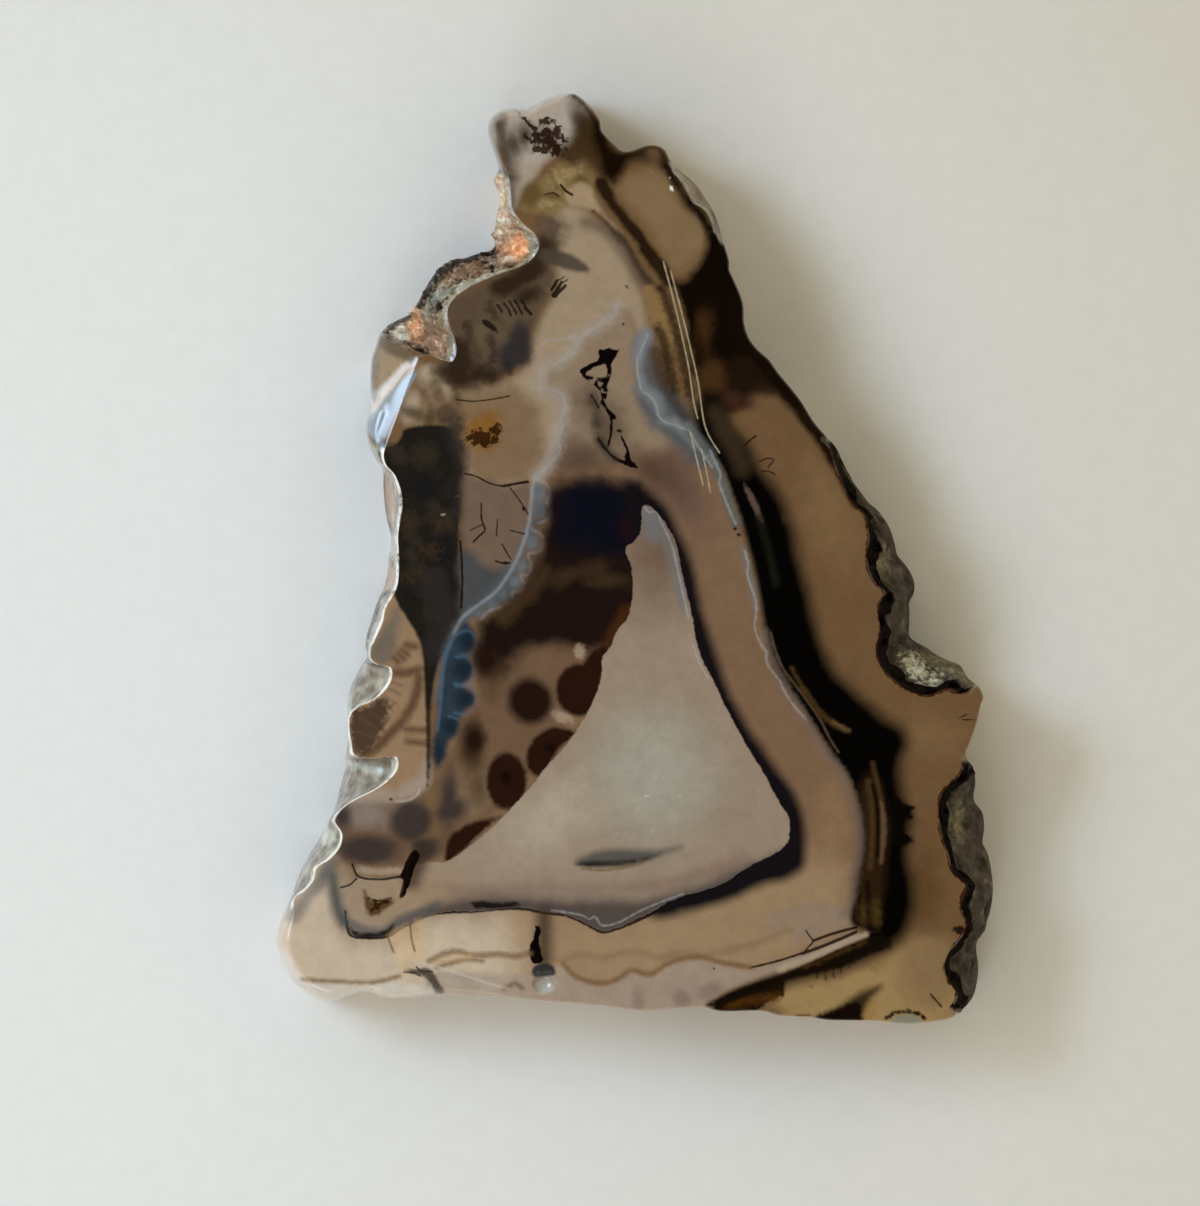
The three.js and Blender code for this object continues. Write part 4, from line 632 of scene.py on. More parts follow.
    mark("spot_eyes", "130807", (0.15, 0.2), 0.9, (0.05, FINE), spot(-4.7, -10.55, 0.35, 0.3),
        spot(-7.1, -12.2, 0.3, 0.4)),
    mark("pale_bits", "9C8872", (0.15, 0.15), 0.9, (0.1, FINE), spot(-3.05, -5.2, 0.3, 0.4),
        spot(-4.0, -8.85, 0.6, 0.3, -0.4), line(0.35, (-15.2, -17.3), (-14, -17.4), (-12.95, -17.35))),

    # the pale core, the painted shadow beside it, and the dark line round it
    # painted shadow: dark shade along the core's right and lower edges, crisp at the core and fading
    # outwards
    mark("core_halo", "141013", (0.55, 0.3), 1.0, (0.08, COARSE), area((-0.5, 4.1), (0.2, 4), (1, 3.4),
        (1.7, 2.7), (2.35, 1.45), (2.95, 0.1), (3.35, -1.6), (3.7, -3.1), (4.1, -4.6), (4.6, -6),
        (5.35, -7.9), (6.45, -9.9), (7.7, -11.6), (8.75, -13.2), (9.25, -14.6), (9.35, -16), (9.2, -17.2),
        (8.4, -17.7), (7, -18.1), (5.2, -18.9), (3.9, -19.3), (2.7, -19.6), (1.2, -19.85), (0, -19),
        (3, -17), (6.5, -15), (4, -9), (2, -4), (0.5, 0))),
    mark("core_line", "0E0A0B", (0.06, 0.05), 0.95, (0.03, FINE), line(0.28, (1.2, -19.55), (0.2, -20.05),
        (-0.9, -20.5), (-1.8, -20.7), (-2.6, -20.3), (-3.8, -19.8), (-5, -19.65), (-6.4, -19.4),
        (-9, -19.57), (-10.5, -19.62), (-11.5, -19.77), (-12.2, -20.1), (-13, -20.5), (-13.7, -20.95),
        (-15, -21.02), (-15.7, -20.9), (-15.9, -20.3), (-15.95, -19.6))),
    mark("core", "948371", (0.05, 0.05), 1.0, (0.05, FINE), area(*CORE_EDGE)),
    mark("core_green", "9E998B", (2.4, 2.4), 1.0, (0.4, COARSE), spot(1.0, -12.0, 3, 3.2), within="core"),
    mark("core_left", "A89B88", (1.6, 1.6), 0.9, (0.3, COARSE), spot(-4.6, -14.4, 2.6, 1.6, 0.6),
        within="core"),
    mark("core_crown", "6C5646", (2.2, 2), 0.9, (0.2, COARSE), spot(1.2, 0.6, 2, 3), within="core"),
    mark("core_tail", "967F64", (1.5, 1.5), 0.9, (0.2, COARSE), spot(-12.5, -18.8, 3, 1.6), within="core"),
    mark("core_rose", "80685C", (0.5, 0.4), 0.7, (0.12, COARSE), line(0.5, (-10, -18.5), (-5, -18.3),
        (-2, -18.4), (1, -18.2), (3.5, -17.6), (6, -16.6)), within="core"),
    mark("core_shade", "3D3535", (0.55, 0.5), 0.85, (0.12, COARSE), area((8.6, -16.4), (6, -17.1), (4, -18),
        (2, -18.6), (0.4, -19), (-2, -19), (-5, -18.9), (-8, -18.8), (-10, -19), (-12, -19.7),
        (-13.5, -20.5), (-13.5, -21.4), (-10.3, -20.2), (-6.3, -20), (-3.8, -20.4), (-1.8, -21.4),
        (0.2, -20.6), (1.8, -19.7), (4, -19), (6.2, -17.8)), within="core"),
    mark("tail_smoke", "4F4D50", (0.35, 0.2), 0.75, (0.08, COARSE), line(0.35, (-15.6, -20.4),
        (-14.8, -20.75), (-13.7, -20.7), (-13, -20.2), (-12.2, -19.8), (-11, -19.4)), within="core"),
    mark("sliver_haze", "464443", (0.3, 0.3), 0.85, (0.05, COARSE), area((-3.3, -16.9), (-2.7, -16.5),
        (-1.8, -16.2), (-0.4, -16.2), (1, -16.25), (2.6, -16.05), (1.4, -16.55), (0.4, -16.9), (-1, -17.1),
        (-2.4, -17.15)), within="core"),
    mark("core_sliver", "1C1816", (0.12, 0.2), 0.95, (0.03, FINE), area((-3.35, -16.98), (-2.4, -16.8),
        (-1, -16.78), (0.4, -16.65), (1.5, -16.42), (0.7, -16.8), (-0.4, -17.08), (-1.6, -17.15),
        (-2.7, -17.18)), within="core"),
    mark("sliver_gold", "6E5C36", (0.1, 0.06), 0.7, (0.03, FINE), line(0.1, (-2.9, -17.26), (-1.8, -17.34),
        (-0.6, -17.2), (0.5, -16.92)), within="core"),
    mark("core_blue", "6B6E71", (0.35, 0.3), 0.75, (0.1, FINE), spot(1.0, 1.9, 0.6, 1),
        line(0.4, (1.5, 1.5), (2, 0.3), (2.35, -1.2), (2.65, -2.6)), within="core"),
    mark("core_thread", "A9ABAE", (0.06, 0.04), 0.4, (0.04, FINE), line(0.09, (0.55, 2.8), (0.85, 2.5),
        (1.2, 2.6), (1.45, 2), (1.85, 1.2), (2.15, 0.4), (2.35, -0.5), (2.55, -1.4), (2.8, -2.5),
        (3, -3.4)), line(0.07, (3.25, -4.9), (3.65, -6), (4.1, -6.7)), line(0.08, (-4.6, -19.55),
        (-3.6, -19.7), (-2.9, -19.85), (-2.5, -20.05), (-2.2, -19.9), (-1.9, -20.35), (-1.5, -20.4),
        (-0.8, -20.2), (0.2, -19.65), (1.2, -19.2), (2, -18.9), (2.7, -18.65)), spot(1.6, -12.2, 0.09),
        spot(2.5, -13.2, 0.1), spot(-0.3, -14.8, 0.08), spot(0.2, -13.9, 0.12, 0.08),
        spot(1.9, -14.4, 0.08), spot(3.1, -13.6, 0.07), spot(1.0, -15.2, 0.08), spot(0.7, -12.7, 0.1, 0.07),
        spot(-1.0, -15.3, 0.08), spot(2.2, -11.4, 0.07), spot(0.9, -14.4, 0.1, 0.08), within="core"),
    mark("core_blot", "15110F", (0.12, 0.1), 0.95, (0.05, FINE), area((-9.1, -19.15), (-8.6, -19.05),
        (-7.5, -19.15), (-6.5, -19.1), (-6.3, -19.25), (-6.9, -19.4), (-8.2, -19.45), (-8.9, -19.4)),
        area((-15.9, -20.4), (-15.4, -20.75), (-13.9, -20.7), (-13.3, -20.3), (-13.6, -20.9),
        (-15.6, -20.95))),
    mark("tail_amber", "4A300F", (0.2, 0.1), 0.9, (0.08, FINE), area((-15, -18.5), (-14.7, -18.95),
        (-14.2, -19.1), (-13.5, -18.95), (-13.4, -19.1), (-13.9, -19.5), (-14.3, -19.8), (-14.75, -19.75),
        (-14.9, -19.2))),
    mark("tail_dark", "241405", (0.06, 0.06), 0.9, (0.12, FINE), line(0.1, (-14.75, -18.9), (-14.2, -19.05),
        (-13.5, -18.9)), line(0.14, (-14.6, -19.6), (-14.2, -19.2), (-13.7, -19.1)),
        spot(-14.3, -19.3, 0.2)),
    mark("tail_blue", "3F4645", (0.4, 0.3), 0.9, (0.1, COARSE), line(0.6, (-16.75, -17.6), (-16.6, -18.6),
        (-16.4, -19.6), (-16.1, -20.2))),
    mark("rim_smoke", "6E6A66", (0.5, 0.2), 0.7, (0.1, COARSE), line(0.5, (-18.9, -19.9), (-18.2, -18.9),
        (-17.4, -17.9), (-16.9, -17.1))),

    # dendrites, cracks and scratches, in the topmost layer of the stone, then painted glints and the pit's
    # painted shade and light
    mark("crack_shade", "382C20", (0.7, 0.3), 0.85, (0.1, COARSE), line(0.5, (-5, -19.9), (-5, -21),
        (-5, -22.3)), line(0.5, (-11.8, -16.3), (-12, -17.2), (-12.3, -18))),
    mark("amber_moss", "80561C", (0.6, 0.3), 0.85, (0.3, FINE), spot(-8.4, 6.9, 0.8, 0.8),
        spot(-8.0, 7.6, 0.4, 0.4)),
    mark("amber_moss_dark", "251204", (0.1, 0.08), 0.92, (0.35, FINE), spot(-8.45, 6.6, 0.85, 0.45),
        spot(-7.7, 7.0, 0.3, 0.3)),
    mark("black_dendrite", "0B0504", (0.05, 0.04), 1.0, (0.05, FINE), area((-2, 11.55), (-1.6, 11.5),
        (-1.4, 11.65), (-1.2, 11.5), (-0.85, 11.6), (-1, 11.2), (-1.3, 10.7), (-1.25, 10.2), (-1.4, 9.9),
        (-1.6, 9.3), (-1.75, 9.7), (-2.25, 9.75), (-2.25, 9.55), (-1.8, 9.3), (-2.2, 9.9), (-1.6, 10),
        (-1.5, 10.3), (-1.7, 10.75), (-2.2, 10.75), (-1.95, 11.1)), line(0.28, (-1.8, 10.85), (-2.4, 10.6),
        (-2.9, 10.3)), line(0.2, (-2.9, 10.3), (-2.75, 10), (-2.3, 9.95)), line(0.22, (-1.65, 9.6),
        (-1.6, 9.2), (-1.75, 8.6), (-1.45, 8.1), (-1.1, 7.75)), line(0.12, (-2.1, 9.6), (-1.75, 8.9)),
        line(0.14, (-1.3, 7.8), (-1.3, 7), (-1.45, 6.2)), spot(-0.85, 7.0, 0.16, 0.09, -0.6),
        line(0.13, (-0.7, 6.6), (-0.45, 6.1), (-0.3, 5.6)), area((-0.5, 5.85), (-0.3, 5.5), (0.18, 5),
        (-0.5, 5.25)), line(0.18, (-2, 6.6), (-1.6, 6), (-1.1, 5.5), (-0.6, 5.25), (0.1, 5)),
        line(0.1, (-2.4, 9), (-2, 8.3)), area((-5.45, -20.4), (-5.2, -20.5), (-5.3, -21.2), (-5.2, -21.8),
        (-5.1, -22.4), (-5.6, -22.5), (-5.85, -22), (-5.75, -21.4), (-5.55, -21)), area((-12.2, -16.2),
        (-11.9, -16.5), (-12.2, -17.2), (-12.4, -17.9), (-12.85, -18.9), (-12.95, -18.85), (-12.75, -18.1),
        (-12.95, -17.7), (-12.5, -16.6))),
    mark("dark_smudges", "2A2522", (0.4, 0.1), 0.6, (0.06, FINE), line(0.3, (-2.3, 8.9), (-2.1, 8.2),
        (-2.1, 7.4)), line(0.3, (-2, 6.6), (-1.6, 6), (-1.1, 5.5)), line(0.3, (1.15, 11.4), (1.35, 10.3),
        (1.8, 9.3), (2.3, 8.5), (2.8, 7.75))),
    mark("cracks", "120B09", (0.05, 0.03), 0.92, (0.015, FINE), line(0.08, (-9.4, 4.65), (-8.8, 4.5),
        (-8, 4.1), (-7.2, 3.95), (-6.5, 4.1), (-5.9, 4.2)), line(0.14, (-7.3, 3.95), (-6.5, 4.1),
        (-5.9, 4.2)), line(0.06, (-6.9, 3.85), (-6.4, 3.2), (-5.9, 2.4)), spot(-6.15, 2.7, 0.12),
        line(0.06, (-8.5, 3), (-8.5, 2.4)), line(0.08, (-8.5, 2.3), (-8.45, 2), (-8.3, 1.5), (-8.6, 1.2),
        (-8.95, 0.85)), line(0.05, (-8.5, 1.8), (-9.1, 1.5)), line(0.06, (-7.35, 0.75), (-7.05, 0.2),
        (-6.85, -0.1)), line(0.08, (-7.7, -0.2), (-7.2, -0.35), (-6.9, -0.3)), spot(-7.15, -0.3, 0.14, 0.1),
        line(0.05, (-7.6, 2.1), (-7.65, 1.2)), line(0.06, (-9.9, 8.75), (-9, 8.65), (-8, 8.75),
        (-6.9, 8.95)), line(0.05, (-6.9, 1.5), (-6.1, 1.3)), line(0.1, (-15.65, -17), (-15.35, -17.65),
        (-14.2, -17.85), (-13, -17.7)), line(0.08, (-16.3, -18.3), (-15.8, -18.15), (-15.4, -17.8)),
        line(0.22, (-12.35, -16.5), (-12.6, -17), (-12.65, -17.5)), line(0.14, (-13, -17.7),
        (-12.65, -17.8)), line(0.16, (-12.65, -17.6), (-12.75, -18), (-12.95, -18.8)),
        line(0.08, (-12.8, -22.98), (-12.2, -23.05), (-11.9, -23.2)), line(0.08, (-12.1, -22.7),
        (-11.8, -22.95), (-11.2, -22.95)), line(0.1, (6.4, -22.75), (8, -22.35), (9.4, -21.9)),
        line(0.16, (9.3, -21.95), (10.3, -21.6), (11.4, -21.15), (12.3, -20.75)), line(0.14, (9.9, -21.25),
        (11, -20.85), (12.3, -20.5)), line(0.07, (9.5, -20.7), (9.75, -21.05), (9.9, -21.25),
        (9.5, -21.75)), line(0.08, (16.4, -24.2), (17, -24.9)), line(0.05, (18, -8.9), (18.4, -8.7)),
        line(0.05, (18.2, -9), (19, -9)), line(0.12, (-4.1, 20.65), (-3.8, 20.3), (-3.45, 20.1)),
        line(0.06, (-5, 20.1), (-4.5, 20.2), (-4.2, 20)), line(0.16, (-4.6, 14.85), (-4.4, 15.15),
        (-4.3, 15.35)), line(0.17, (-4.55, 14.5), (-4.3, 14.85), (-4.05, 15.25)), line(0.16, (-4.4, 14.45),
        (-4.15, 14.75), (-3.85, 15.05)), line(0.05, (-4.15, 15.4), (-3.9, 15.55)),
        line(0.05, (-3.95, 15.25), (-3.7, 15.4)), line(0.07, (6.1, 6.2), (6.4, 6.5), (6.75, 6.75)),
        line(0.06, (6.9, 5.3), (7.4, 5.5), (7.7, 5.4), (7.45, 5.05)), line(0.05, (7, 4.8), (7.5, 4.75),
        (7.8, 4.6)), line(0.1, (-9.66, 0.9), (-9.57, -0.4), (-9.55, -1.6), (-9.62, -2.8)),
        spot(-0.42, 15.0, 0.13, 0.09, -0.6), spot(-0.62, 12.9, 0.08), spot(5.6, 1.6, 0.12),
        spot(5.8, 1.25, 0.12), spot(4.4, -22.8, 0.08), spot(-13.5, -13.42, 0.12, 0.09)),
    mark("foot_brown", "715639", (0.22, 0.1), 0.8, (0.05, FINE), line(0.2, (-11.4, -22.4), (-10.6, -22),
        (-9.8, -21.85), (-9, -22.05), (-7.5, -22), (-6.6, -22.1), (-5.8, -21.95)), line(0.14, (-11, -22.7),
        (-10.2, -22.5), (-9.4, -22.3), (-8.4, -22.35)), line(0.16, (-4, -22.5), (-3.3, -23.2), (-2, -23.6),
        (-1, -23.4), (-0.2, -22.9), (0.8, -23.1), (2, -22.45), (3.5, -22.15), (5, -22.5), (6.4, -22.7)),
        line(0.1, (-18.4, -23.4), (-16.5, -23.5), (-14.5, -23.55), (-13, -23.2)), line(0.12, (-7.2, -23.9),
        (-6.6, -23.6), (-6.2, -23.9))),
    mark("foot_shadow", "3E3129", (0.15, 0.1), 0.88, (0.05, FINE), area((-12.7, -22.85), (-12, -22.85),
        (-11.6, -22.75), (-11.2, -23), (-10.9, -23.5), (-10.5, -24.3), (-10.9, -24.3), (-11.3, -23.6),
        (-11.8, -23.15), (-12.3, -23.05))),
    mark("golden_foot", "C7A677", (0.3, 0.2), 0.4, (0.08, FINE), area((-13.6, -21), (-12.5, -20.4),
        (-12.3, -21.4), (-12.4, -22.6), (-13, -22.9), (-13.1, -22)), line(0.6, (-11.95, -20.4),
        (-11.9, -21.2), (-11.9, -22)), line(0.2, (-11, -22.5), (-10.2, -22.2), (-9.2, -22.2))),
    mark("orange_cracks", "6A4A22", (0.08, 0.04), 0.8, (0.03, FINE), line(0.07, (-13.7, -21),
        (-13.5, -21.5), (-13.35, -21.9)), line(0.06, (-12.45, -20.3), (-12.35, -21.2), (-12.2, -21.8))),
    mark("foot_white", "D0C9BD", (0.1, 0.04), 0.32, (0.04, FINE), line(0.08, (-11.6, -22.5),
        (-10.4, -22.85), (-9.2, -23.25), (-8, -23.65), (-7, -23.9)), line(0.08, (-11.9, -12.9),
        (-12.1, -13.2), (-12.5, -13.45), (-13.2, -13.55))),
    mark("scratches", "BDB091", (0.04, 0.03), 0.65, (0.02, FINE), line(0.07, (1.6, 16.4), (2.1, 14.5),
        (2.6, 12.4), (3, 10.5), (3.3, 8.5), (3.5, 7.7)), line(0.07, (2, 15.9), (2.5, 14), (3, 12),
        (3.5, 9.8), (3.9, 7.3), (4.2, 6.6), (4.7, 5.8)), line(0.06, (3.1, 6.9), (3.5, 5.2), (3.8, 4)),
        line(0.06, (3.7, 6), (4, 4.7), (4.2, 3.6))),
    # painted highlights: small glints of reflected light
    mark("glints", "F2F0EA", (0.05, 0.05), 1.0, (0.04, FINE), spot(2.05, 20.45, 0.1, 0.18, 0.5),
        spot(2.0, 21.0, 0.06, 0.1), spot(1.0, 21.4, 0.05), spot(-9.85, 3.4, 0.07),
        spot(-10.6, 2.35, 0.14, 0.06), spot(0.7, -13.2, 0.12, 0.07), spot(2.6, -13.2, 0.06)),
    mark("pit_shade", "20252A", (0.12, 0.1), 0.92, (0.03, FINE), area((-5.65, -23.2), (-5.65, -22.8),
        (-5.3, -22.55), (-4.8, -22.5), (-4.45, -22.75), (-4.4, -23.1), (-4.7, -23.25), (-5.2, -23.3))),
    # painted light on the lower side of the pit's bowl, across from its painted shade
    mark("pit_pale", "B9BDB2", (0.12, 0.1), 0.8, (0.03, FINE), spot(-5.0, -23.85, 0.5, 0.35)),
)


# Markings of the rough rim alone, painted over its rind and its crystals, with one painted highlight among
# them
RIM_MARKS = (
    mark("pocket_orange", "FFC495", (0.5, 0.5), 0.92, (0.25, FINE), spot(-6.5, 17.2, 0.9, 0.7, 0.2),
        spot(-12.15, 12.9, 0.35, 0.9, -0.1)),
    mark("pocket_pink", "D9BCA0", (0.5, 0.4), 0.85, (0.3, FINE), spot(-7.1, 18.4, 0.6, 0.8),
        spot(-7.3, 20.0, 0.4, 1.2)),
    mark("pocket_rose", "D5AD98", (0.3, 0.25), 0.85, (0.2, FINE), spot(-10.9, 11.8, 0.6, 0.6)),
    mark("pocket_grey", "979B8E", (0.4, 0.3), 0.92, (0.2, FINE), spot(-10.9, 14.5, 1.0, 0.4, 0.5),
        spot(-11.4, 13.6, 0.4, 0.3)),
    mark("pocket_white", "DAD6CA", (0.2, 0.15), 0.95, (0.25, FINE), spot(-13.15, 12.5, 0.6, 0.45, -0.4),
        spot(-7.6, 17.9, 0.2, 0.12), spot(-7.3, 18.7, 0.25, 0.15), spot(-8.0, 16.3, 0.18),
        spot(-10.4, 13.4, 0.25, 0.15), spot(-7.0, 16.6, 0.2, 0.1)),
    mark("pocket_brown", "9A7A5C", (0.35, 0.2), 0.8, (0.35, FINE), spot(-9.0, 15.9, 1.0, 0.3, 0.4),
        spot(-10.5, 12.1, 0.12, 0.5, 0.6), spot(-11.2, 11.9, 0.1, 0.5, 0.5),
        spot(-11.5, 12.6, 0.15, 0.5, -0.3)),
    mark("pocket_dark", "17110D", (0.2, 0.12), 0.95, (0.25, FINE), line(0.6, (-7.9, 17), (-8.8, 16.9),
        (-9.8, 16.5), (-10.7, 15.9), (-11.4, 15.1), (-11.9, 14.2)), line(0.35, (-12.6, 13.4), (-13.5, 12.9),
        (-13.9, 12.2), (-13.3, 11.9), (-12.5, 11.6), (-11.6, 11.4)), line(0.3, (-11.2, 13.8), (-10.6, 14.1),
        (-9.8, 14.3)), line(0.1, (-10, 14.5), (-9, 15.05), (-7.8, 15.6), (-6.6, 16.1)),
        spot(-8.3, 16.4, 0.25, 0.15), spot(-7.9, 16.0, 0.2, 0.1), spot(-9.6, 15.4, 0.3, 0.12, 0.5)),
    mark("rind_pale", "8E8770", (0.4, 0.3), 0.7, (0.3, FINE), spot(13.6, -0.3, 0.4, 0.8),
        spot(17.6, -6.2, 1.3, 0.3, -0.5), spot(17.9, -14.6, 0.3, 0.8)),
    # painted highlight: a sparkle of light on the rind
    mark("rind_sparkle", "D5D6C4", (0.3, 0.3), 0.9, (0.5, FINE), spot(15.6, -6.2, 0.8, 0.45, -0.8),
        spot(16.6, -6.8, 0.4, 0.25)),
)

# Markings of the chipped rim alone, with painted highlights along the chips' edges among them
CHIP_MARKS = (
    mark("chip_rose", "B59C87", (0.3, 0.2), 0.9, (0.1, FINE), spot(-13.65, 3.4, 0.4, 1.5),
        spot(-13.55, -1.0, 0.3, 0.8)),
    mark("chip_dark", "4A463C", (0.12, 0.08), 0.8, (0.1, FINE), line(0.12, (-13.95, 4.6), (-13.9, 3.2),
        (-13.75, 2), (-13.4, 1.55)), line(0.12, (-14.5, -2.8), (-14.2, -2.2), (-13.8, -2), (-13.5, -1.9)),
        line(0.14, (-14.8, -4.4), (-14.5, -3.6), (-14.1, -3.4)), line(0.14, (-15, -5.6), (-14.5, -6),
        (-13.9, -6)), line(0.12, (-16.9, -14.8), (-16.6, -15.4), (-16.2, -15.6)), line(0.35, (4.35, 19.3),
        (3.8, 19.9), (3.3, 20.6), (2.7, 21.2))),
    # painted highlights: pale rims of light along the chips' edges
    mark("chip_pale", "C9CABE", (0.25, 0.2), 0.85, (0.15, FINE), spot(-17.1, -15.4, 0.4, 0.5),
        spot(-14.3, -4.0, 0.2, 0.5, -0.4), spot(-13.35, 0.9, 0.15, 0.6), spot(-14.6, -11.7, 1.0, 0.3, -0.2),
        spot(-15.8, -8.8, 0.15, 0.4)),
)

# What the stone's points keep for its materials, four values to an attribute
LOOKS = ("rind", "crystal", "lip")
KEPT = [*LOOKS, "out"] + [marking.name for marking in MARKS + RIM_MARKS + CHIP_MARKS]
PER_LAYER = 4
KEPT_LAYERS = [KEPT[first:first + PER_LAYER] for first in range(0, len(KEPT), PER_LAYER)]


# Curves and patterns worked out on whole arrays

TINY = 1e-12
SCATTER_ROUND = (127.1, 311.7, 74.7)
SCATTER_HEIGHT = 43758.5453
OTHER_SEED = 5


def curve_through(points, place, closed=True):
    """A centripetal curve: each stretch blends the four points round it in three rounds of straight
    blends, with knots spaced by the square root of the gap between points. place counts in points."""
    points = np.asarray(points, dtype=float)
    count = len(points)
    if not closed:
        first = 2 * points[0] - points[1]
        last = 2 * points[-1] - points[-2]
        points = np.vstack([first, points, last])
    before = np.floor(place).astype(int)
    if not closed:
        before = np.minimum(before, count - 2)
    share = place - before
    offset = 0 if closed else 1
    total = len(points)
    four = [points[(before + offset + k) % total] for k in (-1, 0, 1, 2)]
    gaps = [np.sqrt(np.linalg.norm(four[k + 1] - four[k], axis=1) + TINY) for k in range(3)]
    knots = [np.zeros_like(share), gaps[0], gaps[0] + gaps[1], gaps[0] + gaps[1] + gaps[2]]
    at = knots[1] + share * gaps[1]

    def blend(a, b, start, end):
        part = ((at - start) / (end - start))[:, None]
        return a * (1 - part) + b * part

    first_round = [blend(four[k], four[k + 1], knots[k], knots[k + 1]) for k in range(3)]
    second_round = [blend(first_round[k], first_round[k + 1], knots[k], knots[k + 2]) for k in range(2)]
    return blend(second_round[0], second_round[1], knots[1], knots[2])


def fine_path(points, closed, gap):
    """The smooth curve through the points, cut into short straight stretches of about one gap."""
    points = np.asarray(points, dtype=float)
    if len(points) < 3:
        closed = False
    following = np.roll(points, -1, axis=0)
    lengths = np.linalg.norm(following - points, axis=1)
    if not closed:
        lengths = lengths[:-1]
    steps = np.maximum(1, np.ceil(lengths / gap).astype(int))
    places = [k + np.arange(n) / n for k, n in enumerate(steps)]
    if not closed:
        places.append(np.array([len(points) - 1.0]))
    return curve_through(points, np.concatenate(places), closed)


def scatter(cell_x, cell_y, seed):
    """Values from 0 to 1 for whole-numbered cells: the fraction of a large sine of the cell's place."""
    step_x, step_y, step_seed = SCATTER_ROUND
    wave = np.sin(cell_x * step_x + cell_y * step_y + seed * step_seed) * SCATTER_HEIGHT
    return wave - np.floor(wave)


def soft_noise(u, v, size, seed):
    """Uneven ground from -1 to 1: the values at the four corners of each cell, blended by eased shares."""
    cell_u, cell_v = np.floor(u / size), np.floor(v / size)
    share_u, share_v = u / size - cell_u, v / size - cell_v
    share_u = share_u * share_u * (3 - 2 * share_u)
    share_v = share_v * share_v * (3 - 2 * share_v)

    def across(row):
        return scatter(cell_u, row, seed) * (1 - share_u) + scatter(cell_u + 1, row, seed) * share_u

    return 2 * (across(cell_v) * (1 - share_v) + across(cell_v + 1) * share_v) - 1


def grains(u, v, size, seed):
    """Crystal grains, one point in each cell: how near the nearest is to every place, 1 at its middle."""
    cell_u, cell_v = np.floor(u / size), np.floor(v / size)
    nearest = np.full(u.shape, np.inf)
    for shift_u in (-1, 0, 1):
        for shift_v in (-1, 0, 1):
            middle_u = cell_u + shift_u + scatter(cell_u + shift_u, cell_v + shift_v, seed)
            middle_v = cell_v + shift_v + scatter(cell_u + shift_u, cell_v + shift_v, seed + OTHER_SEED)
            nearest = np.minimum(nearest, np.hypot(u / size - middle_u, v / size - middle_v))
    return 1 - np.clip(nearest, 0, 1)


# Distances, in millimetres, positive inside a shape

def distance_to_path(x, y, path):
    """The shortest distance from every place to a path's straight stretches."""
    nearest = np.full(x.shape, np.inf)
    for (ax, ay), (bx, by) in zip(path[:-1], path[1:]):
        run_x, run_y = bx - ax, by - ay
        length = run_x * run_x + run_y * run_y + TINY
        share = np.clip(((x - ax) * run_x + (y - ay) * run_y) / length, 0, 1)
        off_x, off_y = x - ax - share * run_x, y - ay - share * run_y
        np.minimum(nearest, off_x * off_x + off_y * off_y, out=nearest)
    return np.sqrt(nearest)


def inside_path(x, y, path):
    """Which places lie inside a closed path: an odd number of its stretches is to one side."""
    inside = np.zeros(x.shape, dtype=bool)
    for (ax, ay), (bx, by) in zip(path[:-1], path[1:]):
        if ay != by:
            between = (ay > y) != (by > y)
            inside ^= between & (x < ax + (y - ay) * (bx - ax) / (by - ay))
    return inside


def depth_in_shape(x, y, shape):
    """How far inside one shape every place lies: below zero outside it."""
    if shape[0] == "spot":
        _, middle_x, middle_y, wide, high, turn = shape
        cos, sin = math.cos(turn), math.sin(turn)
        across = ((x - middle_x) * cos + (y - middle_y) * sin) / wide
        along = ((y - middle_y) * cos - (x - middle_x) * sin) / high
        return (1 - np.hypot(across, along)) * min(wide, high)
    if shape[0] == "line":
        return shape[1] / 2 - distance_to_path(x, y, fine_path(shape[2], False, LINE_STEP))
    path = fine_path(shape[1], True, AREA_STEP)
    path = np.vstack([path, path[:1]])
    return np.where(inside_path(x, y, path), 1, -1) * distance_to_path(x, y, path)


def reach_of(shape):
    """The box round a shape: lowest x and y, highest x and y."""
    if shape[0] == "spot":
        radius = max(shape[3], shape[4])
        return shape[1] - radius, shape[2] - radius, shape[1] + radius, shape[2] + radius
    points = np.asarray(shape[-1])
    grow = shape[1] if shape[0] == "line" else AREA_BULGE
    low, high = points.min(axis=0) - grow, points.max(axis=0) + grow
    return low[0], low[1], high[0], high[1]


def depth_in_mark(x, y, marking):
    """How far inside a marking every place lies: the most of its shapes' depths nearby."""
    depth = np.full(x.shape, FAR_OUTSIDE)
    for shape in marking.shapes:
        low_x, low_y, high_x, high_y = reach_of(shape)
        near = (x > low_x + FAR_OUTSIDE) & (x < high_x - FAR_OUTSIDE)
        near &= (y > low_y + FAR_OUTSIDE) & (y < high_y - FAR_OUTSIDE)
        depth[near] = np.maximum(depth[near], depth_in_shape(x[near], y[near], shape))
    return depth


# The stone's surface

INSIDE_ONLY = 1
MERGE_GAP = 1e-7
CELLS_IN_ROW = 100003


